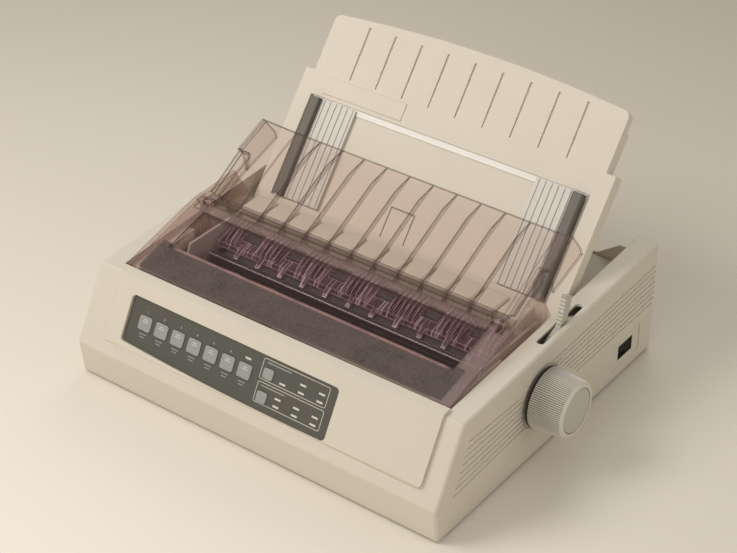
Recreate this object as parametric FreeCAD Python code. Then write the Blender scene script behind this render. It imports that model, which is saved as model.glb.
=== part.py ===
"""Desk-top dot matrix printer with a smoked front cover, a ribbed clear rear cover
and a tilting sheet guide, built as an assembly of separate pieces.

Units are millimetres. The case frame has X to the right, Y to the back and Z up, with
X = 0 in the middle of the case, Y = 0 at the case's lower front edge and Z = 0 on the
desk. Each piece is exported in the row frame: the same axes, moved so that the origin
is the middle of the whole object's bottom."""

import math
import os

import FreeCAD
import Part

V = FreeCAD.Vector
ORIGIN = V(0, 0, 0)
X_AXIS = V(1, 0, 0)
Y_AXIS = V(0, 1, 0)
Z_AXIS = V(0, 0, 1)
FULL_TURN = 360.0
HALF_TURN = 180.0
overrun = 2.0            # how far a cutting shape passes the face that it cuts
fit_gap = 0.3            # gap between pieces that move past each other
running_fit = 0.05       # radial gap of a shaft in its hole

# Case shells
case_width = 398.0
half_width = case_width / 2
case_depth = 346.0
foot_height = 3.0
foot_radius = 9.0
foot_inset_x = 34.0
foot_inset_y = 26.0
crease_height = 36.0     # where the front turns from leaning out to leaning back
crease_reach = 4.0       # how far the crease stands out past the lower edge
front_top_y = 33.5
front_top_z = 103.0
back_top_z = 118.0
case_wall = 2.5
case_edge_radius = 3.0
rim_height = 2.5         # the lower case's rim, seen under the seam
tray_wall_height = 13.0
back_wall_z = 100.4      # top of the low back wall between the rails
back_dip_z = 84.0        # its lower part, where fanfold paper comes in
back_dip_half_top = 160.0
back_dip_half_low = 137.0
opening_front_y = 43.5
rail_width = 20.5        # from the opening to the case's side
opening_half_width = half_width - rail_width
rail_wall = 1.6
rail_depth = 50.0
ledge_width = 8.5        # step beside the opening, under the front cover's sides
ledge_drop = 7.0
ledge_wall = 1.6
ledge_height = 14.0
ledge_back_y = 128.0
dish_radius = 30.0       # shallow dish round the platen knob
dish_depth = 0.8
shaft_hole_radius = 8.0
groove_count = 8
groove_width = 1.3
groove_depth = 0.9
boss_radius = 4.5
boss_hole_radius = 1.5
boss_inset_x = 10.5
boss_front_y = 52.0
boss_back_inset = 16.0
screw_head_radius = 3.2
screw_head_height = 2.0
screw_length = 13.0

# Widths across the printer, each from the one outside it
cover_side_gap = 1.2
cover_half_width = opening_half_width - cover_side_gap
window_side = 21.3
window_half_width = cover_half_width - window_side
shoulder_side = 14.0
shoulder_x = opening_half_width - shoulder_side
cheek_side = 6.0
cheek_outer = opening_half_width - cheek_side
bracket_side = 9.9
bracket_wall = 3.0
bracket_outer = opening_half_width - bracket_side
bracket_inner = bracket_outer - bracket_wall
arm_gap = 0.4
arm_wall = 2.2
arm_outer = bracket_inner - arm_gap
arm_inner = arm_outer - arm_wall
barrel_length = 6.7
barrel_outer = arm_inner - fit_gap
barrel_inner = barrel_outer - barrel_length
tray_side = 16.0
tray_half_width = arm_inner - tray_side
frame_side = 18.0
frame_wall = 2.5
frame_inner = opening_half_width - frame_side
comb_side = 2.5
comb_half_width = frame_inner - comb_side
chute_half_width = comb_half_width
platen_side = 14.5
platen_half_length = frame_inner - platen_side
bail_arm_side = 12.1
bail_arm_inner = frame_inner - bail_arm_side
bail_end_gap = 0.4
bail_half_length = bail_arm_inner - bail_end_gap
pressure_shaft_reach = 1.5
pressure_shaft_half_length = frame_inner + pressure_shaft_reach
gear_side = 4.4
gear_left_x = -(frame_inner + frame_wall + gear_side)
platen_shaft_end = 3.0
platen_shaft_left = gear_left_x - platen_shaft_end
drive_pulley_side = 30.5
drive_pulley_x = frame_inner - drive_pulley_side
idler_pulley_side = 14.5
idler_pulley_x = -(frame_inner - idler_pulley_side)
guide_side = 6.0
guide_half_width = opening_half_width - guide_side
guide_step = 10.0
guide_upper_half_width = guide_half_width - guide_step
pocket_side = 16.5
pocket_half_width = guide_half_width - pocket_side
rail_bar_side = 3.0
rail_bar_half_width = pocket_half_width - rail_bar_side
paper_guide_side = 3.5
paper_guide_outer = pocket_half_width - paper_guide_side
knob_gap = 4.0
knob_length = 31.9
knob_start_x = half_width + knob_gap
knob_end_x = knob_start_x + knob_length
lever_side = 9.0
lever_x = half_width - lever_side
pad_left_side = 27.0
panel_pad_left = -(half_width - pad_left_side)
pad_right_side = 19.0
panel_pad_right = half_width - pad_right_side

# Front panel with the keys
panel_pad_start = 12.0   # along the slope, from the crease
panel_pad_left_rise = 0.3
panel_pad_right_rise = 3.0
panel_pad_top_run = 9.0  # how far the pad runs over the case's top edge
panel_pad_corner = 7.0
panel_left = -153.0
panel_right = 80.5
panel_low = 18.5
panel_high = 62.0
panel_arc_drop = 4.0     # how far the lower edge bows down
panel_corner = 4.0
panel_thickness = 1.2
panel_turn = -1.08       # degrees: the panel lies deeper at its left end
panel_depth = 0.3        # its depth at the middle, under the case's slope
panel_margin = 5.5
panel_backing = 7.0
key_count = 7
key_first_x = -132.9
key_pitch = 19.42
key_line = 40.8
key_width = 14.4
key_height = 13.4
key_corner = 2.0
key_stand_out = 1.1
key_cap_thickness = 3.0
key_stem = 5.0
key_travel = 1.0
key_gap = 0.35
small_key_x = 8.1
small_key_high_line = 47.0
small_key_low_line = 26.2
small_key_width = 11.0
small_key_height = 9.6
lamp_width = 6.4
lamp_height = 1.7
lamp_column_x = 24.5
lamp_column_pitch = 20.3
lamp_line_1 = 51.0
lamp_line_2 = 44.0
lamp_line_3 = 30.1
lamp_line_4 = 23.5
ready_lamp_line = 52.2
key_board_thickness = 1.6
key_board_drop = 13.5
key_switch_size = 6.0

# Smoked front cover
cover_front_y = 44.3
cover_front_lift = 0.3   # its front edge above the case's top
cover_angle = 14.4
cover_wall = 2.4
cover_hinge_run = 98.5
cover_hinge_drop = 1.2
cover_edge_gap = 2.5     # from the hinge line to each cover's edge
cover_front_drop = 4.5   # depth of the cover's sides at the front and at the hinge
cover_hinge_depth = 23.8
cheek_turn = 6.1         # degrees: the sides close in behind the hinge
cheek_peak_run = 147.5
cheek_peak_drop = 4.7
cheek_back_run = 157.9
cheek_back_drop = 42.3
cheek_lip = 3.6
window_start = 34.0
window_end = 84.0
window_pane = 1.2
window_lip = 3.6
window_lip_wall = 1.6
cover_bar_run = 85.0
cover_bar_height = 2.2
cover_bar_step = 1.0
side_strip_width = 7.8
grip_pad_start = 112.7
grip_pad_start_drop = 11.2
grip_pad_end = 149.6
grip_pad_end_drop = 19.4
grip_pad_low_end = 150.5
grip_pad_low_end_drop = 39.2
grip_pad_low_start = 118.6
grip_pad_low_start_drop = 25.5
grip_pad_rise = 0.6
grip_ridge_count = 4
grip_ridge_rise = 0.5
grip_ridge_width = 1.1
barrel_radius = 4.2
hinge_pin_radius = 2.0
front_cover_open = 50.0

# Clear rear cover: a ribbed tray between two raised shoulders
rear_wall = 2.0
strip_end_run = 109.0
tray_front_y = 154.0
tray_front_z = 108.0
tray_bend_y = 230.0
tray_bend_z = 146.0
tray_top_y = 252.8
tray_top_z = 155.4
rib_count = 10
rib_pitch = 26.17
rib_height = 4.5
rib_thickness = 1.2
cheek_wall = 2.2
shoulder_front_y = 156.0
shoulder_front_z = 130.0
shoulder_mid_y = 200.0
shoulder_mid_z = 150.0
shoulder_back_y = 239.3
shoulder_back_z = 166.0
nose_y = 196.0
nose_z = 154.8
ear_top_y = 233.5
ear_top_z = 170.5
ear_back_y = 250.0
ear_back_z = 149.5
ear_heel_y = 252.6
ear_heel_z = 142.0
ear_tip_y = 206.6
ear_tip_z = 126.3
arm_depth = 15.0
lug_front_y = 151.2      # raised lug of each arm, with a flange along its top
lug_front_z = 131.2
lug_top_y = 194.1
lug_top_z = 156.5
lug_back_y = 203.5
lug_back_z = 149.2
lug_flange = 5.4
rear_cover_open = 65.0

# Hinge brackets that carry both covers
bracket_half_depth = 8.0
bracket_foot_z = 84.0
bracket_foot_height = 12.0

# Side frames
frame_front_y = 50.0
frame_back_y = 206.0
frame_front_z = 66.0
frame_top_z = 96.0
frame_step_y = 112.0
frame_foot_width = 10.0

# Platen, knob and paper feed
platen_y = 151.5
platen_z = 61.6
platen_radius = 17.0
platen_core_radius = 12.0
platen_shaft_radius = 4.0
bush_radius = 6.5
bush_flange_radius = 9.0
bush_flange = 1.5
knob_base_radius = 28.6
knob_face_radius = 26.1
knob_rim_radius = 1.6
knob_flutes = 90
knob_flute_depth = 0.7
knob_collar_radius = 21.0
knob_cap_radius = 20.6
knob_cap_thickness = 2.0
knob_cap_gap = 0.6
knob_hollow_depth = 18.0
knob_hollow_radius = 22.0
knob_hub_radius = 8.0
gear_module = 1.0
platen_teeth = 40
idler_teeth = 22
pinion_teeth = 12
gear_width = 4.0
tooth_share = 0.42
addendum_share = 0.82
dedendum_share = 1.12
feed_motor_y = 186.0
feed_motor_z = 38.0
feed_motor_radius = 18.0
feed_motor_length = 26.0
feed_motor_shaft_radius = 1.5
idler_stud_radius = 2.5
roller_angle = 50.0      # of the pressure rollers round the platen
roller_radius = 7.5
roller_width = 16.0
roller_pitch = 51.2
roller_count = 6
roller_shaft_radius = 2.5

# Clear paper comb over the pressure rollers
comb_front_y = 147.0
comb_front_z = 83.5
comb_back_y = 177.0
comb_back_z = 92.0
comb_wall = 2.2
comb_skirt_z = 79.6
comb_window = 19.0
comb_window_start = 157.0
comb_window_end = 177.0
fin_height = 6.5
fin_thickness = 1.0
fin_pitch = 5.234
fin_side_count = 29
finger_width = 4.6
finger_drop_y = 141.0
finger_drop_z = 77.6
comb_tab_width = 2.5

# Paper chute behind the platen
chute_front_y = 180.0
chute_back_y = 206.0
chute_low_z = 84.0
chute_base_z = 91.0
chute_top_z = 106.0
hump_count = 12
hump_width = 19.5
hump_round = 5.0

# Paper bail
bail_y = 128.0
bail_z = 80.6
bail_radius = 4.5
bail_arm_wall = 3.0
bail_pivot_y = 118.0
bail_pivot_z = 48.0
bail_stud_radius = 3.0
bail_hub_radius = 6.0
bail_open = 24.0

# Carriage, print head, ribbon cartridge and their drive
carriage_x = -100.0
carriage_travel = 200.0
carriage_half_width = 24.0
carriage_back_y = 116.0
carriage_front_y = 84.0
carriage_low_z = 36.0
carriage_top_z = 52.0
carriage_deck_y = 57.0
carriage_deck_z = 48.0
carriage_deck_wall = 3.0
guide_shaft_y = 100.0
guide_shaft_z = 44.0
guide_shaft_radius = 5.0
front_rail_y = 58.0
front_rail_depth = 7.0
front_rail_wall = 1.5
head_half_width = 15.0
head_back_y = 122.0
head_front_y = 100.0
head_top_z = 70.0
head_fin_count = 5
nose_tip_gap = 0.8
nose_half_width = 5.0
nose_height = 9.0
cartridge_half_width = 48.0
cartridge_front_y = 60.0
cartridge_back_y = 97.0
cartridge_low_z = 57.0
cartridge_top_z = 73.0
horn_inner = 17.0
horn_outer = 27.0
horn_reach_y = 130.0
belt_front_y = 67.0
belt_back_y = 81.0
belt_low_z = 37.0
belt_high_z = 42.0
belt_thickness = 1.2
pulley_flange = 1.0
pulley_axle_radius = 2.0
space_motor_radius = 19.0
space_motor_high_z = 33.0

# Sheet guide
guide_y = 302.0
guide_z = 198.9
guide_angle = 51.5
guide_low_run = -150.0
guide_shoulder_run = -1.0
guide_corner_run = 50.0
guide_side_top_run = 57.0
guide_arch_run = 64.8
guide_lower_thickness = 14.0
guide_upper_thickness = 9.0
guide_skin = 2.5
guide_step_run = 38.0
pocket_low_run = -127.0
pocket_high_run = -24.0
pocket_depth = 3.0
slot_count = 9
slot_pitch = 30.23
slot_low_run = 0.0
slot_high_run = 53.5
slot_low_width = 1.2
slot_high_width = 2.4
slot_depth = 1.6
badge_pad_left = -143.0
badge_pad_right = -52.0
badge_pad_low = -20.0
badge_pad_high = -3.0
badge_pad_rise = 0.7
flap_left = -27.0
flap_right = -2.0
flap_low_run = -128.0
flap_high_run = -98.0
flap_slit = 1.2
rail_bar_low_run = -30.0
rail_bar_thickness = 1.3
guide_pivot_run = -143.0
guide_pivot_depth = 7.5
guide_pivot_radius = 3.0
guide_fold = 36.0
guide_rib_count = 6
guide_rib_wall = 1.8

# Sliding paper guides on the sheet guide
paper_guide_grip = 11.5
paper_guide_inner = 101.0
paper_guide_low_run = -125.8
paper_guide_high_run = -25.6
paper_guide_lift = 0.3
paper_guide_thickness = 3.3
paper_guide_ribs = 6
paper_guide_rib_height = 0.9
paper_guide_rib_width = 1.3
grip_height = 5.5
paper_guide_travel = 60.0

# Release lever
lever_thickness = 5.0
lever_pivot_y = 195.0
lever_pivot_z = 66.0
lever_hub_radius = 7.0
lever_shield_radius = 43.5   # round shield that fills the slot
lever_shield_angle = 48.0
lever_shield_steps = 16
lever_stud_radius = 3.0
lever_slot_front_y = 157.0
lever_slot_back_y = 224.0
lever_slot_width = 7.5
lever_neck_z = 108.0
lever_top_z = 138.5
lever_front_y = 186.0
lever_width = 11.0
lever_lean = 8.0
lever_teeth = 8
lever_tooth_depth = 0.9
lever_forward = 30.0
lever_back = -20.0

# Power switch and sockets
switch_from_back = 47.5
switch_y = case_depth - switch_from_back
switch_z = 27.0
switch_length = 25.0
switch_height = 15.5
switch_bezel = 1.8
switch_depth = 20.0
switch_recess_margin = 12.0
rocker_pivot_depth = 6.0   # from the housing's face to the rocker's pins
rocker_pin_radius = 1.5
rocker_tip_out = 5.2
rocker_tip_reach = 9.2
rocker_middle_out = 4.2
rocker_back_in = 2.0
rocker_back_reach = 5.5
rocker_swing = 16.0
inlet_x = 150.0
inlet_z = 30.0
inlet_width = 27.0
inlet_height = 19.0
inlet_depth = 18.0
inlet_pin_radius = 1.6
inlet_pin_spacing = 7.0
port_x = -110.0
port_z = 34.0
port_width = 66.0
port_height = 15.0
port_depth = 12.0
port_tongue_height = 4.5

# Inner pieces behind the mechanism
board_left = -150.0
board_right = 70.0
board_front_gap = 30.0
board_front_y = frame_back_y + board_front_gap
board_back_gap = 16.0
board_back_y = case_depth - board_back_gap
board_z = 12.0
board_thickness = 1.6
board_pillar_radius = 3.5
board_pillar_inset = 8.0
transformer_x = 118.0
transformer_from_back = 66.0
transformer_y = case_depth - transformer_from_back
transformer_length = 60.0
transformer_depth = 52.0
transformer_height = 44.0
coil_inset = 9.0
coil_stand_out = 8.0
deck_front_gap = 28.0
deck_front_y = frame_back_y + deck_front_gap
deck_front_z = 62.0
deck_back_z = 82.0
deck_wall = 2.0
deck_flat = 28.0
deck_bend_y = deck_front_y + deck_flat
deck_back_gap = 4.0
deck_back_y = case_depth - deck_back_gap


def degrees_of(rise, run):
    """The angle of a slope, in degrees."""
    return math.degrees(math.atan2(rise, run))


def sin_of(angle):
    return math.sin(math.radians(angle))


def cos_of(angle):
    return math.cos(math.radians(angle))


front_angle = degrees_of(front_top_z - crease_height, front_top_y + crease_reach)
front_length = math.hypot(front_top_z - crease_height, front_top_y + crease_reach)
top_angle = degrees_of(back_top_z - front_top_z, case_depth - front_top_y)
floor_z = foot_height + rim_height


def top_z(y):
    """Height of the case's top surface at y."""
    return front_top_z + (y - front_top_y) * math.tan(math.radians(top_angle))


cover_front_z = top_z(cover_front_y) + cover_front_lift
hinge_y = cover_front_y + cover_hinge_run * cos_of(cover_angle) + cover_hinge_drop * sin_of(cover_angle)
hinge_z = cover_front_z + cover_hinge_run * sin_of(cover_angle) - cover_hinge_drop * cos_of(cover_angle)
guide_back_y = guide_y + guide_arch_run * cos_of(guide_angle) + guide_upper_thickness * sin_of(guide_angle)
object_right = knob_end_x
object_left = -half_width
object_front = -crease_reach
object_back = max(case_depth, guide_back_y)
row_shift = V(-(object_right + object_left) / 2, -(object_front + object_back) / 2, 0)


# Plain shapes

def block(x0, x1, y0, y1, z0, z1):
    """Box between two corners."""
    return Part.makeBox(x1 - x0, y1 - y0, z1 - z0, V(x0, y0, z0))


def rod(x0, x1, y, z, radius):
    """Round bar along X."""
    return Part.makeCylinder(radius, x1 - x0, V(x0, y, z), X_AXIS)


def post(x, y, z0, z1, radius):
    """Round bar along Z."""
    return Part.makeCylinder(radius, z1 - z0, V(x, y, z0), Z_AXIS)


def cone(x0, x1, y, z, radius0, radius1):
    return Part.makeCone(radius0, radius1, x1 - x0, V(x0, y, z), X_AXIS)


def side_wire(points, x):
    """Closed outline through (y, z) points, in the plane across X at x."""
    corners = [V(x, y, z) for y, z in points]
    return Part.makePolygon(corners + corners[:1])


def side_slab(points, x0, x1):
    """Plate with a side-view outline, from x0 to x1."""
    return Part.Face(side_wire(points, x0)).extrude(V(x1 - x0, 0, 0))


def flat_slab(points, z0, z1):
    """Plate with a plan outline, from z0 to z1."""
    corners = [V(x, y, z0) for x, y in points]
    return Part.Face(Part.makePolygon(corners + corners[:1])).extrude(V(0, 0, z1 - z0))


def rounded_slab(x0, x1, y0, y1, z0, z1, radius):
    """Box with its four upright edges rounded."""
    slab = block(x0, x1, y0, y1, z0, z1)
    upright = [e for e in slab.Edges if e.BoundBox.ZLength > (z1 - z0) / 2]
    return slab.makeFillet(radius, upright)


def loft(wires):
    return Part.makeLoft(wires, True, True)


def inset(points, wall):
    """The polygon moved inwards by a wall, for points that run anticlockwise."""
    moved = []
    count = len(points)
    for i in range(count):
        before, here, after = points[i - 1], points[i], points[(i + 1) % count]
        lines = []
        for start, end in ((before, here), (here, after)):
            run = math.hypot(end[0] - start[0], end[1] - start[1])
            normal = (-(end[1] - start[1]) / run, (end[0] - start[0]) / run)
            lines.append((normal, normal[0] * start[0] + normal[1] * start[1] + wall))
        (n1, c1), (n2, c2) = lines
        det = n1[0] * n2[1] - n1[1] * n2[0]
        moved.append(((c1 * n2[1] - c2 * n1[1]) / det, (n1[0] * c2 - n2[0] * c1) / det))
    return moved


def ribbon(points, wall):
    """Outline of a sheet of this thickness that hangs under a line of (y, z) points."""
    under = []
    for i, (y, z) in enumerate(points):
        before = points[max(i - 1, 0)]
        after = points[min(i + 1, len(points) - 1)]
        first = math.atan2(z - before[1], y - before[0]) if i else None
        last = math.atan2(after[1] - z, after[0] - y) if i < len(points) - 1 else None
        first = last if first is None else first
        last = first if last is None else last
        middle = (first + last) / 2
        reach = wall / math.cos((last - first) / 2)
        under.append((y + reach * math.sin(middle), z - reach * math.cos(middle)))
    return list(points) + under[::-1]


def mirrored(shape):
    """The same piece on the other side of the case's mid-plane."""
    return shape.mirror(ORIGIN, X_AXIS)


def joined(shapes):
    first, rest = shapes[0], shapes[1:]
    return first.multiFuse(rest).removeSplitter() if rest else first


def both_sides(shape):
    return [shape, mirrored(shape)]


# Planes that carry pieces: local X is the case's X, local Y runs up the slope and
# local Z stands out of it

def laid(shape, y, z, angle):
    moved = shape.copy()
    moved.rotate(ORIGIN, X_AXIS, angle)
    moved.translate(V(0, y, z))
    return moved


def on_front(shape):
    """From the plane of the front slope to the case frame."""
    return laid(shape, -crease_reach, crease_height, front_angle)


def on_panel(shape):
    """From the key panel's own plane, which is turned a little in the slope."""
    turned = shape.copy()
    turned.rotate(V((panel_left + panel_right) / 2, 0, 0), Y_AXIS, panel_turn)
    turned.translate(V(0, 0, -panel_depth))
    return on_front(turned)


def on_cover(shape):
    return laid(shape, cover_front_y, cover_front_z, cover_angle)


def on_guide(shape):
    return laid(shape, guide_y, guide_z, guide_angle)


def cover_point(run, rise):
    """A point of the front cover's side view in the case frame."""
    y = cover_front_y + run * cos_of(cover_angle) - rise * sin_of(cover_angle)
    z = cover_front_z + run * sin_of(cover_angle) + rise * cos_of(cover_angle)
    return y, z


def guide_point(run, rise):
    """A point of the sheet guide's side view in the case frame."""
    y = guide_y + run * cos_of(guide_angle) - rise * sin_of(guide_angle)
    z = guide_z + run * sin_of(guide_angle) + rise * cos_of(guide_angle)
    return y, z


def panel_normal():
    """Direction in which the keys stand out."""
    tilted = FreeCAD.Rotation(X_AXIS, front_angle).multiply(FreeCAD.Rotation(Y_AXIS, panel_turn))
    return tilted.multVec(Z_AXIS)


# Gears, in planes across X

def gear_radius(teeth):
    return gear_module * teeth / 2


def gear(teeth, phase, y, z, x0, x1):
    """Spur gear with straight-sided teeth, one of them at the angle phase."""
    pitch_angle = FULL_TURN / teeth
    outer = gear_radius(teeth) + addendum_share * gear_module
    inner = gear_radius(teeth) - dedendum_share * gear_module
    half = pitch_angle * tooth_share / 2
    steps = ((-half * 1.4, inner), (-half * 0.55, outer), (half * 0.55, outer), (half * 1.4, inner))
    points = []
    for tooth in range(teeth):
        centre = phase + tooth * pitch_angle
        for offset, radius in steps:
            angle = centre + offset
            points.append((y + radius * cos_of(angle), z + radius * sin_of(angle)))
    return side_slab(points, x0, x1)


def meshed_phase(teeth_a, phase_a, direction, teeth_b):
    """Phase of gear b that meshes with gear a, which lies opposite to direction."""
    pitch_a = FULL_TURN / teeth_a
    pitch_b = FULL_TURN / teeth_b
    into_a = ((direction - phase_a) / pitch_a) % 1
    return direction + HALF_TURN - (0.5 - into_a) * pitch_b


def idler_centre():
    """Where the idler meshes with both the platen gear and the motor's pinion."""
    reach_a = gear_radius(platen_teeth) + gear_radius(idler_teeth)
    reach_b = gear_radius(idler_teeth) + gear_radius(pinion_teeth)
    dy, dz = feed_motor_y - platen_y, feed_motor_z - platen_z
    span = math.hypot(dy, dz)
    along = (reach_a ** 2 - reach_b ** 2 + span ** 2) / (2 * span)
    across = math.sqrt(reach_a ** 2 - along ** 2)
    return (platen_y + (along * dy + across * dz) / span,
            platen_z + (along * dz - across * dy) / span)


def roller_centre():
    reach = platen_radius + roller_radius + fit_gap
    return platen_y + reach * cos_of(roller_angle), platen_z + reach * sin_of(roller_angle)


# Case shells and what is fixed to them

def case_outline():
    """Side view of the case, anticlockwise from its lower front edge."""
    start_y = -crease_reach * rim_height / (crease_height - foot_height)
    return [(start_y, floor_z), (case_depth, floor_z), (case_depth, back_top_z),
            (front_top_y, front_top_z), (-crease_reach, crease_height)]


def groove(y0, z0, y1, z1):
    """Shallow groove in the case's right wall."""
    run = math.hypot(y1 - y0, z1 - z0)
    bar = rounded_slab(0, run, -groove_width / 2, groove_width / 2, -groove_depth, overrun,
                       groove_width * 0.45)
    bar.rotate(ORIGIN, Z_AXIS, degrees_of(z1 - z0, y1 - y0))
    bar.rotate(ORIGIN, V(1, 1, 1), FULL_TURN / 3)
    bar.translate(V(half_width, y0, z0))
    return bar


def groove_sets():
    """Two fans of grooves on the right wall, in front of the knob and behind it."""
    starts_shares = (((0.120, 0.690), (0.353, 0.662)), ((0.061, 0.309), (0.385, 0.353)))
    ends_shares = (((0.482, 0.749), (0.991, 0.798)), ((0.608, 0.449), (0.991, 0.455)))
    bars = []
    for first, last in (starts_shares, ends_shares):
        for i in range(groove_count):
            t = i / (groove_count - 1)
            ends = []
            for a, b in zip(first, last):
                ends.append((case_depth * (a[0] + (b[0] - a[0]) * t),
                             back_top_z * (a[1] + (b[1] - a[1]) * t)))
            bars.append(groove(*ends[0], *ends[1]))
    return bars


def rail_inner_wall():
    """Inner wall of the right-hand rail, along the side of the opening."""
    points = []
    for y, drop in ((opening_front_y, 0), (opening_front_y, rail_depth),
                    (case_depth - case_wall, rail_depth), (case_depth - case_wall, 0)):
        points.append((y, top_z(y) - case_wall - drop))
    return side_slab(points, opening_half_width, opening_half_width + rail_wall)


def side_ledge():
    """Step along the right side of the opening with a wall that hangs from its edge."""
    inner = opening_half_width - ledge_width
    step, wall = [], []
    for y in (opening_front_y, ledge_back_y):
        step.append((y, top_z(y) - ledge_drop))
        wall.append((y, top_z(y) - ledge_drop))
    for y in (ledge_back_y, opening_front_y):
        step.append((y, top_z(y) - ledge_drop - ledge_wall))
        wall.append((y, top_z(y) - ledge_drop - ledge_height))
    return side_slab(step, inner, opening_half_width).fuse(side_slab(wall, inner, inner + ledge_wall))


def back_dip():
    """Cut that lowers the middle of the back wall, with sloping ends."""
    corners = []
    for x, z in ((-back_dip_half_low, back_dip_z), (back_dip_half_low, back_dip_z),
                 (back_dip_half_top, back_wall_z), (back_dip_half_top, back_top_z),
                 (-back_dip_half_top, back_top_z), (-back_dip_half_top, back_wall_z)):
        corners.append(V(x, case_depth - case_wall - overrun, z))
    face = Part.Face(Part.makePolygon(corners + corners[:1]))
    return face.extrude(V(0, case_wall + overrun * 2, 0))


def screw_places():
    x = half_width - boss_inset_x
    return [(sx * x, y) for sx in (-1, 1) for y in (boss_front_y, case_depth - boss_back_inset)]


def switch_hole(margin, x0, x1):
    return block(x0, x1, switch_y - switch_length / 2 - margin, switch_y + switch_length / 2 + margin,
                 switch_z - switch_height / 2 - margin * 0.6, switch_z + switch_height / 2 + margin * 0.6)


def back_hole(x, z, width, height):
    return block(x - width / 2, x + width / 2, case_depth - case_wall - overrun,
                 case_depth + overrun, z - height / 2, z + height / 2)


def upper_case():
    outline = case_outline()
    outer = side_slab(outline, -half_width, half_width)
    edges = [e for e in outer.Edges if e.BoundBox.ZMax > crease_height / 2]
    outer = outer.makeFillet(case_edge_radius, edges)
    hollow_points = inset(outline, case_wall)
    low = outline[0][1] - overrun
    hollow_points[0] = (hollow_points[0][0], low)
    hollow_points[1] = (hollow_points[1][0], low)
    hollow = side_slab(hollow_points, -half_width + case_wall, half_width - case_wall)
    shell = outer.cut(hollow)
    additions = both_sides(rail_inner_wall())
    for x, y in screw_places():
        additions.append(post(x, y, floor_z + case_wall, top_z(y) - case_wall, boss_radius))
    additions.append(rod(opening_half_width, lever_x + lever_thickness / 2 + fit_gap,
                         lever_pivot_y, lever_pivot_z, lever_stud_radius))
    pivot_y, pivot_z = guide_pivot()
    ear = rod(guide_half_width + fit_gap, opening_half_width, pivot_y, pivot_z, guide_pivot_radius * 2.2)
    shell = shell.fuse(additions + both_sides(ear))
    cuts = both_sides(rod(guide_half_width, opening_half_width + rail_wall + overrun, pivot_y, pivot_z,
                          guide_pivot_radius + running_fit))
    cuts += [block(-opening_half_width, opening_half_width, opening_front_y, case_depth + overrun,
                  back_wall_z, back_top_z + overrun)]
    shell = shell.cut(cuts[-1:]).fuse(both_sides(side_ledge()))
    cuts[-1:] = [back_dip()]
    for x, y in screw_places():
        cuts.append(post(x, y, 0, foot_height + screw_length + case_wall, boss_hole_radius))
    bars = groove_sets()
    cuts += bars + [mirrored(bar) for bar in bars]
    cuts.append(rod(half_width - dish_depth, half_width + overrun, platen_y, platen_z, dish_radius))
    cuts.append(rod(opening_half_width - overrun, half_width + overrun, platen_y, platen_z,
                    shaft_hole_radius))
    slot_half = lever_slot_width / 2
    cuts.append(rounded_slab(lever_x - slot_half, lever_x + slot_half, lever_slot_front_y,
                             lever_slot_back_y, front_top_z, back_top_z, slot_half * 0.9))
    cuts.append(switch_hole(0, half_width - case_wall - overrun, half_width + overrun))
    cuts.append(switch_hole(switch_recess_margin, half_width - groove_depth, half_width + overrun))
    cuts.append(back_hole(inlet_x, inlet_z, inlet_width, inlet_height))
    cuts.append(back_hole(port_x, port_z, port_width, port_height))
    cuts.append(panel_backing_block(-panel_backing - case_wall, overrun))
    return shell.cut(cuts)


def lower_case():
    """Shallow tray that closes the case from below."""
    low, seam = foot_height, floor_z
    base = rounded_slab(-half_width, half_width, 0, case_depth, low, seam, case_edge_radius)
    inner = case_wall + fit_gap
    wall = block(-half_width + inner, half_width - inner, inner, case_depth - inner, seam,
                 seam + tray_wall_height)
    room = block(-half_width + inner + case_wall, half_width - inner - case_wall, inner + case_wall,
                 case_depth - inner - case_wall, seam, seam + tray_wall_height + overrun)
    additions = [wall.cut(room)]
    for x, y in screw_places():
        additions.append(post(x, y, seam, seam + case_wall, boss_radius))
    for x in (board_left + board_pillar_inset, board_right - board_pillar_inset):
        for y in (board_front_y + board_pillar_inset, board_back_y - board_pillar_inset):
            additions.append(post(x, y, seam, board_z, board_pillar_radius))
    cuts = []
    for x, y in screw_places():
        cuts.append(post(x, y, 0, seam + case_wall + overrun, boss_hole_radius))
        cuts.append(post(x, y, 0, low + screw_head_height - case_wall * 0.2, screw_head_radius + fit_gap))
        cuts.append(post(x, y, seam + case_wall, seam + tray_wall_height + overrun, boss_radius + fit_gap))
    return base.fuse(additions).cut(cuts)


def case_screws():
    shapes = []
    for x, y in screw_places():
        shank = post(x, y, foot_height, foot_height + screw_length, boss_hole_radius)
        head = post(x, y, foot_height, foot_height + screw_head_height - case_wall * 0.2, screw_head_radius)
        shapes.append(shank.fuse(head).removeSplitter())
    return Part.makeCompound(shapes)


def foot_places():
    x = half_width - foot_inset_x
    return [(sx * x, y) for sx in (-1, 1) for y in (foot_inset_y, case_depth - foot_inset_y)]


def rubber_feet():
    return Part.makeCompound([cone_foot(x, y) for x, y in foot_places()])


def cone_foot(x, y):
    return Part.makeCone(foot_radius - case_edge_radius / 2, foot_radius, foot_height, V(x, y, 0), Z_AXIS)


def panel_outline():
    """Outline of the key panel: straight above, bowed below."""
    bow = panel_low - panel_arc_drop
    arc = Part.Arc(V(panel_left, panel_low, 0), V((panel_left + panel_right) / 2, bow, 0),
                   V(panel_right, panel_low - panel_arc_drop, 0))
    left = Part.LineSegment(V(panel_left, panel_high, 0), V(panel_left, panel_low, 0))
    right = Part.LineSegment(V(panel_right, panel_low - panel_arc_drop, 0), V(panel_right, panel_high, 0))
    top = Part.LineSegment(V(panel_right, panel_high, 0), V(panel_left, panel_high, 0))
    return Part.Wire([left.toShape(), arc.toShape(), right.toShape(), top.toShape()])


def panel_slab(z0, z1):
    face = Part.Face(panel_outline())
    slab = face.extrude(V(0, 0, z1 - z0))
    slab.translate(V(0, 0, z0))
    upright = [e for e in slab.Edges if e.BoundBox.ZLength > (z1 - z0) / 2]
    return slab.makeFillet(panel_corner, upright)


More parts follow.
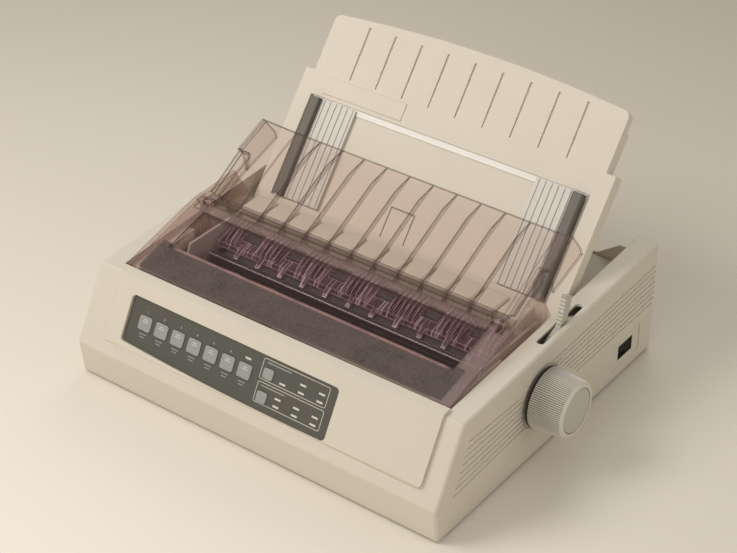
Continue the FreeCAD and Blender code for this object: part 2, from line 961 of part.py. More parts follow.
def key_places():
    """Each key's middle and size on the panel, as (x, line, width, height)."""
    keys = []
    for i in range(key_count):
        keys.append((key_first_x + i * key_pitch, key_line, key_width, key_height))
    for line in (small_key_high_line, small_key_low_line):
        keys.append((small_key_x, line, small_key_width, small_key_height))
    return keys


def lamp_places():
    places = []
    for row, line in enumerate((lamp_line_1, lamp_line_2, lamp_line_3, lamp_line_4)):
        for column in range(3):
            if row == 3 or row == 1 or column or row:
                places.append((lamp_column_x + column * lamp_column_pitch, line))
    places.append((key_first_x + (key_count - 1) * key_pitch, ready_lamp_line))
    return places


def key_slab(key, margin, z0, z1):
    x, line, width, height = key
    return rounded_slab(x - width / 2 - margin, x + width / 2 + margin, line - height / 2 - margin,
                        line + height / 2 + margin, z0, z1, key_corner + margin)


def lamp_slab(place, z0, z1):
    x, line = place
    return block(x - lamp_width / 2, x + lamp_width / 2, line - lamp_height / 2,
                 line + lamp_height / 2, z0, z1)


def pad_wire(x, rise):
    """Side view of the raised pad at x: up the slope and over the top edge."""
    start, end = panel_pad_start, front_length
    over = front_top_y + panel_pad_top_run
    points = []
    for run, out in ((start + rise, rise), (start, 0), (end, 0)):
        points.append((-crease_reach + run * cos_of(front_angle) - out * sin_of(front_angle),
                       crease_height + run * sin_of(front_angle) + out * cos_of(front_angle)))
    points.append((over, top_z(over)))
    points.append((over - rise * 0.4, top_z(over) + rise))
    bisect = (front_angle + top_angle) / 2
    out = rise / cos_of((front_angle - top_angle) / 2)
    points.append((front_top_y - out * sin_of(bisect), front_top_z + out * cos_of(bisect)))
    return side_wire(points, x)


def panel_backing_block(low, high):
    """Block behind the key panel, in the frame of the front slope."""
    return on_front(block(panel_left - panel_margin, panel_right + panel_margin,
                          panel_low - panel_arc_drop - panel_margin, panel_high + panel_margin,
                          low, high))


def front_panel():
    """Raised pad over the front slope, with the pocket that holds the key panel."""
    pad = loft([pad_wire(panel_pad_left, panel_pad_left_rise),
                pad_wire(panel_pad_right, panel_pad_right_rise)])
    round_x, round_run = panel_pad_right - panel_pad_corner, panel_pad_start + panel_pad_corner
    corner = block(round_x, panel_pad_right + overrun, panel_pad_start - overrun, round_run,
                   -overrun, panel_pad_right_rise + overrun)
    corner = corner.cut(post(round_x, round_run, -overrun * 2, panel_pad_right_rise + overrun * 2,
                             panel_pad_corner))
    pad = pad.cut(on_front(corner))
    body = pad.fuse(panel_backing_block(-panel_backing, 0)).removeSplitter()
    cuts = [on_panel(panel_slab(-panel_thickness, panel_backing))]
    for key in key_places():
        cuts.append(on_panel(key_slab(key, key_gap, -key_cap_thickness - key_travel - fit_gap, 0)))
        x, line = key[:2]
        cuts.append(on_panel(block(x - key_stem / 2 - fit_gap, x + key_stem / 2 + fit_gap,
                                   line - key_stem / 2 - fit_gap, line + key_stem / 2 + fit_gap,
                                   -panel_backing * 2, 0)))
    for place in lamp_places():
        cuts.append(on_panel(lamp_slab(place, -panel_backing * 2, 0)))
    return body.cut(cuts)


def key_panel():
    plate = panel_slab(-panel_thickness, 0)
    cuts = [key_slab(key, key_gap, -panel_thickness * 2, panel_thickness) for key in key_places()]
    cuts += [lamp_slab(place, -panel_thickness * 2, panel_thickness) for place in lamp_places()]
    return on_panel(plate.cut(cuts))


def key(place):
    """One key: a rounded cap with a stem behind it."""
    x, line = place[:2]
    cap = key_slab(place, 0, -key_cap_thickness, key_stand_out)
    crown = [e for e in cap.Edges if e.BoundBox.ZMin > key_stand_out * 0.9]
    cap = cap.makeFillet(key_stand_out * 0.45, crown)
    stem = block(x - key_stem / 2, x + key_stem / 2, line - key_stem / 2, line + key_stem / 2,
                 -key_board_drop + key_switch_size * 0.5 + key_travel + fit_gap, -key_cap_thickness)
    return on_panel(cap.fuse(stem))


def status_lamps():
    return Part.makeCompound([on_panel(lamp_slab(place, -key_board_drop, 0)) for place in lamp_places()])


def key_board():
    """Board behind the panel, with a small switch under each key."""
    board = block(panel_left + panel_corner, panel_right - panel_corner, panel_low,
                  panel_high - panel_corner, -key_board_drop - key_board_thickness, -key_board_drop)
    half = key_switch_size / 2
    parts = [board]
    for x, line, width, height in key_places():
        parts.append(block(x - half, x + half, line - half, line + half,
                           -key_board_drop, -key_board_drop + key_switch_size * 0.5))
    for x in (panel_left + panel_corner * 2, panel_right - panel_corner * 2):
        parts.append(post(x, panel_high - panel_corner * 2, -key_board_drop, 0, panel_corner / 2))
    return on_panel(joined(parts)).cut(panel_backing_block(-panel_backing, panel_backing))


# Covers and their hinge

def cheek_part(outline, x0, x1):
    """Right-hand piece of the cover's side behind the hinge, from (run, drop) points."""
    edge = cover_hinge_run - cover_edge_gap
    slab = side_slab([(run, -drop) for run, drop in outline], x0, x1)
    slab.rotate(V(cover_half_width, edge, 0), Z_AXIS, cheek_turn)
    return on_cover(slab)


def cover_cheek():
    """Side of the cover behind the hinge, with a lip along its top and a grip pad."""
    half = cover_half_width
    edge = cover_hinge_run - cover_edge_gap
    plate = cheek_part([(edge, 0), (edge, cover_hinge_depth), (cheek_back_run, cheek_back_drop),
                        (cheek_peak_run, cheek_peak_drop)], half - cover_wall, half)
    lip = cheek_part([(edge, 0), (edge, cover_wall), (cheek_peak_run, cheek_peak_drop + cover_wall),
                      (cheek_peak_run, cheek_peak_drop)], half - cheek_lip, half)
    pad_corners = [(grip_pad_start, grip_pad_start_drop), (grip_pad_low_start, grip_pad_low_start_drop),
                   (grip_pad_low_end, grip_pad_low_end_drop), (grip_pad_end, grip_pad_end_drop)]
    pad = cheek_part(pad_corners, half - cover_wall / 2, half + grip_pad_rise)
    ridges = []
    for i in range(grip_ridge_count):
        share = (i + 1) / (grip_ridge_count + 1)
        ends = []
        for (run_a, drop_a), (run_b, drop_b) in ((pad_corners[0], pad_corners[1]), (pad_corners[3], pad_corners[2])):
            ends.append((run_a + (run_b - run_a) * share, drop_a + (drop_b - drop_a) * share))
        (run_a, drop_a), (run_b, drop_b) = ends
        run_a, run_b = run_a + grip_ridge_width * 2, run_b - grip_ridge_width * 2
        ridges.append(cheek_part([(run_a, drop_a), (run_a, drop_a + grip_ridge_width),
                                  (run_b, drop_b + grip_ridge_width), (run_b, drop_b)],
                                 half, half + grip_pad_rise + grip_ridge_rise))
    return [plate, lip, pad] + ridges


def front_cover():
    half = cover_half_width
    edge = cover_hinge_run - cover_edge_gap
    sheet = block(-half, half, 0, edge, -cover_wall, 0)
    outline = [(0, 0), (0, -cover_front_drop), (edge, -cover_hinge_depth), (edge, 0)]
    side_points = [cover_point(run, rise) for run, rise in outline]
    side = side_slab(side_points, half - cover_wall, half)
    lip_half = window_half_width + window_lip_wall
    lip = block(-lip_half, lip_half, window_start - window_lip_wall, window_end + window_lip_wall,
                -cover_wall - window_lip, -cover_wall)
    lip = lip.cut(block(-window_half_width, window_half_width, window_start, window_end,
                        -cover_wall - window_lip - overrun, overrun))
    bar = block(-barrel_inner, barrel_inner, cover_bar_run, edge - cover_bar_step, 0, cover_bar_height)
    crown = [e for e in bar.Edges if e.BoundBox.ZMin > cover_bar_height * 0.9
             and e.BoundBox.XLength > barrel_inner]
    bar = bar.makeFillet(cover_bar_height * 0.7, crown)
    body = joined([on_cover(part) for part in (sheet, lip, bar)] + both_sides(side))
    for piece in cover_cheek():
        body = body.fuse(both_sides(piece))
    barrel = rod(barrel_inner, barrel_outer, hinge_y, hinge_z, barrel_radius)
    knuckle = on_cover(block(barrel_inner, barrel_outer, cover_bar_run, cover_hinge_run, -cover_wall, 0))
    body = body.fuse(both_sides(barrel) + both_sides(knuckle)).removeSplitter()
    recess = block(-window_half_width, window_half_width, window_start, window_end,
                   -cover_wall + window_pane, overrun)
    notch = block(barrel_outer, half - side_strip_width, edge - barrel_radius * 2, edge + overrun,
                  -cover_wall - overrun, overrun + cover_bar_height)
    cuts = [on_cover(recess)] + both_sides(on_cover(notch))
    cuts += both_sides(rod(barrel_inner - overrun, barrel_outer + overrun, hinge_y, hinge_z,
                           hinge_pin_radius + running_fit))
    return body.cut(cuts)


def hinge_brackets():
    """Upright on each side frame with the pin on which both covers turn."""
    shapes = []
    depth = bracket_half_depth
    outline = [(hinge_y - barrel_radius, hinge_z), (hinge_y - depth, bracket_foot_z),
               (hinge_y + depth, bracket_foot_z), (hinge_y + barrel_radius, hinge_z)]
    upright = side_slab(outline, bracket_inner, bracket_outer)
    eye = rod(bracket_inner, bracket_outer, hinge_y, hinge_z, barrel_radius)
    pin = rod(barrel_inner + fit_gap, bracket_outer, hinge_y, hinge_z, hinge_pin_radius)
    foot = block(frame_inner + frame_wall, bracket_inner, hinge_y - depth, hinge_y + depth,
                 bracket_foot_z, bracket_foot_z + bracket_foot_height)
    bracket = joined([upright, eye, pin, foot])
    shapes += both_sides(bracket)
    return Part.makeCompound(shapes)


def tray_line():
    return [(tray_front_y, tray_front_z), (tray_bend_y, tray_bend_z), (tray_top_y, tray_top_z)]


def rear_ribs():
    """Upright ribs that carry the printed sheet, deeper in the tray's lower part."""
    low, bend, top = tray_line()
    rise = rib_height / cos_of(degrees_of(bend[1] - low[1], bend[0] - low[0]))
    outline = [low, bend, top, (bend[0] - rib_height * 0.3, bend[1] + rib_height), (low[0], low[1] + rise)]
    ribs = []
    for i in range(rib_count):
        x = (i - (rib_count - 1) / 2) * rib_pitch
        ribs.append(side_slab(outline, x - rib_thickness / 2, x + rib_thickness / 2))
    return ribs


def rear_cover():
    half = tray_half_width
    strip_start = cover_point(cover_hinge_run + cover_edge_gap, 0)
    strip_end = cover_point(strip_end_run, 0)
    sheet = side_slab(ribbon([strip_start, strip_end], rear_wall), -half, half)
    front_wall = side_slab([strip_end, cover_point(strip_end_run - rear_wall, -rear_wall),
                            (tray_front_y - rear_wall * 0.8, tray_front_z - rear_wall),
                            (tray_front_y + rear_wall * 0.8, tray_front_z)], -half, half)
    panel = side_slab(ribbon(tray_line(), rear_wall), -half, half)
    parts = [sheet, front_wall, panel] + rear_ribs()
    shoulder_line = [(shoulder_front_y, shoulder_front_z), (shoulder_mid_y, shoulder_mid_z),
                     (shoulder_back_y, shoulder_back_z)]
    ramp = loft([side_wire(ribbon(tray_line(), rear_wall), half),
                 side_wire(ribbon(shoulder_line, rear_wall), shoulder_x)])
    shoulder = loft([side_wire(ribbon(shoulder_line[1:], rear_wall), shoulder_x),
                     side_wire(ribbon([(nose_y, nose_z), (ear_top_y, ear_top_z)], rear_wall),
                               cheek_outer)])
    lug_line = [(lug_front_y, lug_front_z), (lug_top_y, lug_top_z), (lug_back_y, lug_back_z)]
    arm_points = [(hinge_y - barrel_radius, hinge_z + barrel_radius * 0.5)] + lug_line
    arm_points += [(shoulder_mid_y, shoulder_mid_z - arm_depth), (shoulder_front_y, shoulder_front_z - arm_depth),
                   (hinge_y, hinge_z - barrel_radius)]
    arm = side_slab(arm_points, arm_inner, arm_outer)
    flange = side_slab(ribbon(lug_line, rear_wall), arm_inner, arm_inner + lug_flange)
    eye = rod(arm_inner, arm_outer, hinge_y, hinge_z, barrel_radius)
    cheek_points = [(nose_y, nose_z), (ear_top_y, ear_top_z), (ear_back_y, ear_back_z),
                    (ear_heel_y, ear_heel_z), (ear_tip_y, ear_tip_z), (nose_y + cheek_wall * 2, nose_z - cheek_wall)]
    cheek = side_slab(cheek_points, cheek_outer - cheek_wall, cheek_outer)
    web = on_cover(block(tray_half_width, arm_outer, strip_end_run - arm_depth * 0.5, strip_end_run,
                         -rear_wall, 0))
    for piece in (ramp, shoulder, arm, flange, eye, cheek, web):
        parts += both_sides(piece)
    body = joined(parts)
    holes = both_sides(rod(arm_inner - overrun, arm_outer + overrun, hinge_y, hinge_z,
                           hinge_pin_radius + running_fit))
    barrel_room = both_sides(rod(barrel_inner - fit_gap, barrel_outer + fit_gap / 2, hinge_y, hinge_z,
                                 barrel_radius + fit_gap))
    return body.cut(holes + barrel_room)


# Side frames and the paper feed

def frame_outline():
    return [(frame_front_y, floor_z), (frame_back_y, floor_z), (frame_back_y, frame_front_z),
            (frame_back_y - bracket_foot_height, frame_top_z), (frame_step_y, frame_top_z),
            (frame_step_y - bracket_foot_height, frame_front_z), (frame_front_y, frame_front_z)]


def side_frame():
    """Right-hand frame: a plate with a foot and holes for shafts and studs."""
    plate = side_slab(frame_outline(), frame_inner, frame_inner + frame_wall)
    foot = block(frame_inner - frame_foot_width, frame_inner, frame_front_y, frame_back_y,
                 floor_z, floor_z + frame_wall)
    stud = rod(bail_arm_inner - fit_gap, frame_inner, bail_pivot_y, bail_pivot_z, bail_stud_radius)
    frame = joined([plate, foot, stud])
    pressure_y, pressure_z = roller_centre()
    cuts = [rod(frame_inner - overrun, frame_inner + frame_wall + overrun, platen_y, platen_z, bush_radius),
            rod(frame_inner - overrun, frame_inner + frame_wall + overrun, pressure_y, pressure_z,
                roller_shaft_radius + running_fit),
            rod(frame_inner - overrun, frame_inner + frame_wall + overrun, guide_shaft_y, guide_shaft_z,
                guide_shaft_radius)]
    return frame.cut(cuts)


def left_side_frame():
    frame = mirrored(side_frame())
    left, right = -frame_inner - frame_wall, -frame_inner
    stud_y, stud_z = idler_centre()
    stud = rod(gear_left_x - fit_gap, left, stud_y, stud_z, idler_stud_radius)
    hole = rod(left - overrun, right + overrun, feed_motor_y, feed_motor_z, gear_radius(pinion_teeth) + gear_module)
    return frame.fuse([stud, idler_bracket()]).cut(hole)


def right_side_frame():
    return side_frame()


def platen_bushes():
    """Flanged bush in each side frame, round the platen's shaft."""
    tube = rod(frame_inner, frame_inner + frame_wall, platen_y, platen_z, bush_radius)
    flange = rod(frame_inner - bush_flange, frame_inner, platen_y, platen_z, bush_flange_radius)
    bush = tube.fuse(flange).cut(rod(frame_inner - overrun, frame_inner + frame_wall + overrun,
                                     platen_y, platen_z, platen_shaft_radius + running_fit))
    return Part.makeCompound(both_sides(bush.removeSplitter()))


def platen_roller():
    sleeve = rod(-platen_half_length, platen_half_length, platen_y, platen_z, platen_radius)
    return sleeve.cut(rod(-platen_half_length - overrun, platen_half_length + overrun,
                          platen_y, platen_z, platen_core_radius))


def platen_shaft():
    core = rod(-platen_half_length, platen_half_length, platen_y, platen_z, platen_core_radius)
    shaft = rod(platen_shaft_left, knob_end_x - knob_hollow_depth, platen_y, platen_z, platen_shaft_radius)
    collars = both_sides(rod(platen_half_length, frame_inner - bush_flange - fit_gap, platen_y, platen_z,
                             bush_radius))
    return joined([core, shaft] + collars)


def fluted_ring(radius0, radius1, x0, x1):
    """Tapered body with fine flutes along its side."""
    wires = []
    for x, radius in ((x0, radius0), (x1, radius1)):
        points = []
        for i in range(knob_flutes * 2):
            angle = i * HALF_TURN / knob_flutes
            reach = radius - knob_flute_depth * (i % 2)
            points.append((platen_y + reach * cos_of(angle), platen_z + reach * sin_of(angle)))
        wires.append(side_wire(points, x))
    return loft(wires)


def platen_knob():
    face_x = knob_end_x - knob_rim_radius
    body = fluted_ring(knob_base_radius, knob_face_radius, knob_start_x, face_x)
    rim = cone(face_x, knob_end_x, platen_y, platen_z, knob_face_radius - knob_flute_depth,
               knob_face_radius - knob_flute_depth - knob_rim_radius)
    cuts = [rod(knob_start_x - overrun, knob_start_x + knob_hollow_depth, platen_y, platen_z,
                knob_hollow_radius),
            rod(knob_end_x - knob_cap_thickness - knob_cap_gap, knob_end_x + overrun, platen_y, platen_z,
                knob_cap_radius + knob_cap_gap)]
    hub = rod(knob_start_x, knob_start_x + knob_hollow_depth, platen_y, platen_z, knob_hub_radius)
    bore = rod(knob_start_x - overrun, knob_end_x - knob_hollow_depth, platen_y, platen_z,
               platen_shaft_radius)
    return joined([body, rim]).cut(cuts).fuse(hub).cut(bore).removeSplitter()


def knob_cap():
    start = knob_end_x - knob_cap_thickness - knob_cap_gap
    return rod(start, knob_end_x - knob_cap_gap * 0.5, platen_y, platen_z, knob_cap_radius)


def gear_phases():
    """Phases of the idler and the pinion that mesh with the platen gear."""
    idler_y, idler_z = idler_centre()
    to_idler = degrees_of(idler_z - platen_z, idler_y - platen_y)
    idler = meshed_phase(platen_teeth, 0, to_idler, idler_teeth)
    to_pinion = degrees_of(feed_motor_z - idler_z, feed_motor_y - idler_y)
    return idler, meshed_phase(idler_teeth, idler, to_pinion, pinion_teeth)


def platen_gear():
    wheel = gear(platen_teeth, 0, platen_y, platen_z, gear_left_x, gear_left_x + gear_width)
    return wheel.cut(rod(gear_left_x - overrun, gear_left_x + gear_width + overrun, platen_y, platen_z,
                         platen_shaft_radius))


def idler_gear():
    y, z = idler_centre()
    wheel = gear(idler_teeth, gear_phases()[0], y, z, gear_left_x, gear_left_x + gear_width)
    return wheel.cut(rod(gear_left_x - overrun, gear_left_x + gear_width + overrun, y, z,
                         idler_stud_radius + running_fit))


def feed_pinion():
    wheel = gear(pinion_teeth, gear_phases()[1], feed_motor_y, feed_motor_z, gear_left_x,
                 gear_left_x + gear_width)
    shaft = rod(gear_left_x - fit_gap, -frame_inner + fit_gap, feed_motor_y, feed_motor_z,
                feed_motor_shaft_radius)
    return wheel.fuse(shaft).removeSplitter()


def feed_motor():
    start, end = -frame_inner, -frame_inner + feed_motor_length
    can = rod(start, end, feed_motor_y, feed_motor_z, feed_motor_radius)
    rims = [e for e in can.Edges if e.BoundBox.XLength < fit_gap and e.BoundBox.XMin > start]
    can = can.makeFillet(case_edge_radius, rims)
    return can.cut(rod(start - overrun, start + fit_gap * 2, feed_motor_y, feed_motor_z,
                       feed_motor_shaft_radius + running_fit))


def roller_places():
    return [(i - (roller_count - 1) / 2) * roller_pitch for i in range(roller_count)]


def pressure_shaft():
    y, z = roller_centre()
    return rod(-pressure_shaft_half_length, pressure_shaft_half_length, y, z, roller_shaft_radius)


def pressure_rollers():
    y, z = roller_centre()
    shapes = []
    for x in roller_places():
        wheel = rod(x - roller_width / 2, x + roller_width / 2, y, z, roller_radius)
        wheel = wheel.makeFillet(roller_shaft_radius * 0.4,
                                 [e for e in wheel.Edges if e.BoundBox.XLength < fit_gap])
        shapes.append(wheel.cut(rod(x - roller_width, x + roller_width, y, z, roller_shaft_radius)))
    return Part.makeCompound(shapes)


def comb_height(y):
    """Height of the comb's upper face at y."""
    return comb_front_z + (comb_back_z - comb_front_z) * (y - comb_front_y) / (comb_back_y - comb_front_y)


def paper_comb():
    """Clear comb over the platen, with windows for the pressure rollers."""
    half = comb_half_width
    face = [(comb_front_y, comb_front_z), (comb_back_y, comb_back_z)]
    plate = side_slab(ribbon(face, comb_wall), -half, half)
    skirt = side_slab([(comb_front_y, comb_front_z), (comb_front_y - comb_wall, comb_skirt_z),
                       (comb_front_y, comb_skirt_z), (comb_front_y + comb_wall, comb_front_z)], -half, half)
    windows = []
    for x in roller_places():
        windows.append(block(x - comb_window / 2, x + comb_window / 2, comb_window_start, comb_window_end,
                             comb_skirt_z, comb_back_z + fin_height))
    fins = []
    fin_outline = [(comb_front_y, comb_front_z), (comb_back_y, comb_back_z),
                   (comb_back_y, comb_back_z + fin_height * 0.5),
                   ((comb_front_y + comb_back_y) / 2, comb_height((comb_front_y + comb_back_y) / 2) + fin_height),
                   (comb_front_y + comb_wall, comb_front_z + fin_height * 0.6)]
    for i in range(-fin_side_count, fin_side_count + 1):
        x = (i + 0.5) * fin_pitch
        near_roller = any(abs(x - place) < comb_window / 2 + fin_thickness for place in roller_places())
        if abs(x) < half - fin_pitch and not near_roller:
            fins.append(side_slab(fin_outline, x - fin_thickness / 2, x + fin_thickness / 2))
    fingers = []
    finger_outline = [(comb_front_y, comb_front_z), (finger_drop_y, finger_drop_z + comb_wall),
                      (finger_drop_y - comb_wall, finger_drop_z), (comb_front_y - comb_wall, comb_skirt_z),
                      (comb_front_y, comb_skirt_z)]
    for i in range(rib_count + 1):
        x = (i - rib_count / 2) * rib_pitch
        fingers.append(side_slab(finger_outline, x - finger_width / 2, x + finger_width / 2))
    tab = block(half, frame_inner, comb_back_y - frame_foot_width, comb_back_y,
                comb_height(comb_back_y - frame_foot_width) - comb_wall, comb_back_z)
    body = joined([plate, skirt] + both_sides(tab))
    return body.cut(windows).fuse(fins + fingers).removeSplitter()


def paper_chute():
    """Row of rounded humps that leads the sheet down behind the platen."""
    base = block(-chute_half_width, chute_half_width, chute_front_y, chute_back_y, chute_low_z, chute_base_z)
    parts = [base]
    for i in range(hump_count):
        x = (i - (hump_count - 1) / 2) * rib_pitch
        hump = block(x - hump_width / 2, x + hump_width / 2, chute_front_y, chute_back_y,
                     chute_base_z, chute_top_z)
        crown = [e for e in hump.Edges if e.BoundBox.ZMin > chute_top_z * 0.99 and e.BoundBox.YLength < hump_round]
        parts.append(hump.makeFillet(hump_round, crown))
    for side in (-1, 1):
        inner, outer = sorted((side * chute_half_width, side * frame_inner))
        parts.append(block(inner, outer, chute_front_y, chute_back_y, chute_low_z, chute_base_z))
    trimmed = joined(parts)
    return trimmed.common(block(-frame_inner, frame_inner, 0, case_depth, 0, case_depth))


def bail_rod():
    return rod(-bail_half_length, bail_half_length, bail_y, bail_z, bail_radius)


def bail_arms():
    """Arms that swing the bail on the studs of the side frames."""
    shapes = []
    x0, x1 = bail_arm_inner, bail_arm_inner + bail_arm_wall
    lean = degrees_of(bail_z - bail_pivot_z, bail_y - bail_pivot_y)
    dy, dz = bail_radius * sin_of(lean), bail_radius * cos_of(lean)
    bar = side_slab([(bail_pivot_y + dy, bail_pivot_z - dz), (bail_y + dy, bail_z - dz),
                     (bail_y - dy, bail_z + dz), (bail_pivot_y - dy, bail_pivot_z + dz)], x0, x1)
    eye = rod(x0, x1, bail_pivot_y, bail_pivot_z, bail_hub_radius)
    boss = rod(bail_half_length, x1, bail_y, bail_z, bail_radius + fit_gap)
    arm = joined([bar, eye, boss])
    arm = arm.cut(rod(x0 - overrun, x1 + overrun, bail_pivot_y, bail_pivot_z,
                      bail_stud_radius + running_fit))
    shapes += both_sides(arm)
    return Part.makeCompound(shapes)


# Carriage and its drive

def guide_shaft():
    reach = frame_inner + frame_wall
    return rod(-reach, reach, guide_shaft_y, guide_shaft_z, guide_shaft_radius)


def front_rail():
    """Sheet rail between the side frames, under the carriage's front edge."""
    top = carriage_deck_z - fit_gap
    upright = block(-frame_inner, frame_inner, front_rail_y, front_rail_y + front_rail_wall,
                    floor_z + frame_wall, top)
    flange = block(-frame_inner, frame_inner, front_rail_y, front_rail_y + front_rail_depth,
                   top - front_rail_wall, top)
    reach = space_motor_radius + overrun
    room = block(drive_pulley_x - reach, drive_pulley_x + reach, front_rail_y - overrun,
                 front_rail_y + front_rail_wall + overrun, floor_z, space_motor_high_z + overrun)
    return joined([upright, flange]).cut(room)


def carriage():
    x0, x1 = carriage_x - carriage_half_width, carriage_x + carriage_half_width
    body = block(x0, x1, carriage_front_y, carriage_back_y, carriage_low_z, carriage_top_z)
    deck = block(x0, x1, carriage_deck_y, carriage_front_y, carriage_deck_z,
                 carriage_deck_z + carriage_deck_wall)
    posts = [block(x, x + carriage_deck_wall, carriage_deck_y + carriage_deck_wall,
                   carriage_front_y, carriage_deck_z, cartridge_low_z)
             for x in (x0, x1 - carriage_deck_wall)]
    frame = joined([body, deck] + posts)
    bore = rod(x0 - overrun, x1 + overrun, guide_shaft_y, guide_shaft_z, guide_shaft_radius + running_fit)
    room = block(x0 + carriage_deck_wall * 2, x1 - carriage_deck_wall * 2, carriage_front_y - overrun,
                 guide_shaft_y - guide_shaft_radius - overrun, carriage_low_z - overrun,
                 carriage_deck_z - carriage_deck_wall)
    return frame.cut([bore, room])


def print_head():
    """Head with cooling fins behind a narrow nose that faces the platen."""
    low = carriage_top_z
    body = block(carriage_x - head_half_width, carriage_x + head_half_width, head_front_y, head_back_y,
                 low, head_top_z)
    fin_pitch_z = (head_top_z - low) / head_fin_count
    slots = []
    for i in range(head_fin_count):
        z = low + (i + 0.5) * fin_pitch_z
        slots.append(block(carriage_x - head_half_width - overrun, carriage_x + head_half_width + overrun,
                           head_front_y - overrun, (head_front_y + head_back_y) / 2, z, z + fin_pitch_z * 0.5))
    tip_y = platen_y - platen_radius - nose_tip_gap
    nose = block(carriage_x - nose_half_width, carriage_x + nose_half_width, head_back_y, tip_y,
                 platen_z - nose_height / 2, platen_z + nose_height / 2)
    return body.cut(slots).fuse(nose).removeSplitter()


def ribbon_cartridge():
    x = carriage_x
    box = rounded_slab(x - cartridge_half_width, x + cartridge_half_width, cartridge_front_y,
                       cartridge_back_y, cartridge_low_z, cartridge_top_z, case_edge_radius)
    horns = []
    for inner, outer in ((horn_inner, horn_outer), (-horn_outer, -horn_inner)):
        horns.append(block(x + inner, x + outer, cartridge_back_y, horn_reach_y,
                           cartridge_low_z + case_wall, cartridge_top_z - case_wall))
    knob = post(x + cartridge_half_width * 0.6, (cartridge_front_y + cartridge_back_y) / 2,
                cartridge_top_z, cartridge_top_z + case_wall * 0.6, bail_hub_radius)
    return joined([box] + horns + [knob])


def belt_wire(grow):
    """Loop round the two pulleys, in plan."""
    radius = (belt_back_y - belt_front_y) / 2 + grow
    middle = (belt_back_y + belt_front_y) / 2
    front, back = middle - radius, middle + radius
    right = Part.Arc(V(drive_pulley_x, front, 0), V(drive_pulley_x + radius, middle, 0),
                     V(drive_pulley_x, back, 0)).toShape()
    left = Part.Arc(V(idler_pulley_x, back, 0), V(idler_pulley_x - radius, middle, 0),
                    V(idler_pulley_x, front, 0)).toShape()
    far = Part.LineSegment(V(drive_pulley_x, back, 0), V(idler_pulley_x, back, 0)).toShape()
    near = Part.LineSegment(V(idler_pulley_x, front, 0), V(drive_pulley_x, front, 0)).toShape()
    return Part.Wire([right, far, left, near])


def drive_belt():
    height = V(0, 0, belt_high_z - belt_low_z)
    outer = Part.Face(belt_wire(0)).extrude(height)
    inner = Part.Face(belt_wire(-belt_thickness)).extrude(height)
    belt = outer.cut(inner)
    belt.translate(V(0, 0, belt_low_z))
    return belt


def pulley(x):
    middle = (belt_back_y + belt_front_y) / 2
    radius = (belt_back_y - belt_front_y) / 2 - belt_thickness - fit_gap
    low, high = belt_low_z - fit_gap, belt_high_z + fit_gap
    hub = post(x, middle, low, high, radius)
    flanges = [post(x, middle, low - pulley_flange, low, radius + belt_thickness * 2),
               post(x, middle, high, high + pulley_flange, radius + belt_thickness * 2)]
    return joined([hub] + flanges)


def drive_pulley():
    middle = (belt_back_y + belt_front_y) / 2
    low = belt_low_z - fit_gap - pulley_flange
    axle = post(drive_pulley_x, middle, space_motor_high_z - overrun, low, pulley_axle_radius)
    return joined([pulley(drive_pulley_x), axle])


def idler_pulley():
    middle = (belt_back_y + belt_front_y) / 2
    bore = post(idler_pulley_x, middle, belt_low_z - overrun * 2, belt_high_z + overrun * 2,
                pulley_axle_radius + running_fit)
    return pulley(idler_pulley_x).cut(bore)


def idler_bracket():
    """Plate from the left side frame with the pin of the idler pulley."""
    middle = (belt_back_y + belt_front_y) / 2
    low = belt_low_z - fit_gap * 2 - pulley_flange
    plate = block(-frame_inner, idler_pulley_x + pulley_axle_radius * 3, middle - pulley_axle_radius * 3,
                  middle + pulley_axle_radius * 3, low - frame_wall, low)
    return joined([plate, post(idler_pulley_x, middle, low, belt_high_z + pulley_flange, pulley_axle_radius)])


def space_motor():
    middle = (belt_back_y + belt_front_y) / 2
    can = post(drive_pulley_x, middle, floor_z, space_motor_high_z, space_motor_radius)
    top = [e for e in can.Edges if e.BoundBox.ZMin > space_motor_high_z * 0.99]
    can = can.makeFillet(case_wall, top)
    return can.cut(post(drive_pulley_x, middle, space_motor_high_z - overrun - fit_gap,
                        space_motor_high_z + overrun, pulley_axle_radius + running_fit))


# Sheet guide and its paper guides

def guide_outline(low, inset_by):
    """Outline of the sheet guide in its own plane, closed and anticlockwise."""
    wide, narrow = guide_half_width - inset_by, guide_upper_half_width - inset_by
    step, side = guide_shoulder_run - inset_by, guide_side_top_run - inset_by
    corner, arch = guide_corner_run - inset_by, guide_arch_run - inset_by
    corner_x = narrow - (side - corner)
    segments = []
    points = [V(-wide, low, 0), V(wide, low, 0), V(wide, step, 0), V(narrow, step, 0), V(narrow, corner, 0)]
    for start, end in zip(points, points[1:]):
        segments.append(Part.LineSegment(start, end).toShape())
    bulge = (side - corner) * cos_of(45)
    segments.append(Part.Arc(points[-1], V(corner_x + bulge, corner + bulge, 0), V(corner_x, side, 0)).toShape())
    segments.append(Part.Arc(V(corner_x, side, 0), V(0, arch, 0), V(-corner_x, side, 0)).toShape())
    segments.append(Part.Arc(V(-corner_x, side, 0), V(-corner_x - bulge, corner + bulge, 0),
                             V(-narrow, corner, 0)).toShape())
    for start, end in ((V(-narrow, corner, 0), V(-narrow, step, 0)), (V(-narrow, step, 0), V(-wide, step, 0)),
                       (V(-wide, step, 0), V(-wide, low, 0))):
        segments.append(Part.LineSegment(start, end).toShape())
    return Part.Wire(segments)


def guide_body(low, inset_by, back, front):
    slab = Part.Face(guide_outline(low, inset_by)).extrude(V(0, 0, front - back))
    slab.translate(V(0, 0, back))
    return slab


def tapered_slot(x):
    """Narrow groove in the sheet guide's face, wider at its top."""
    points = [(x - slot_low_width / 2, slot_low_run), (x + slot_low_width / 2, slot_low_run),
              (x + slot_high_width / 2, slot_high_run), (x - slot_high_width / 2, slot_high_run)]
    return flat_slab(points, -slot_depth, overrun)


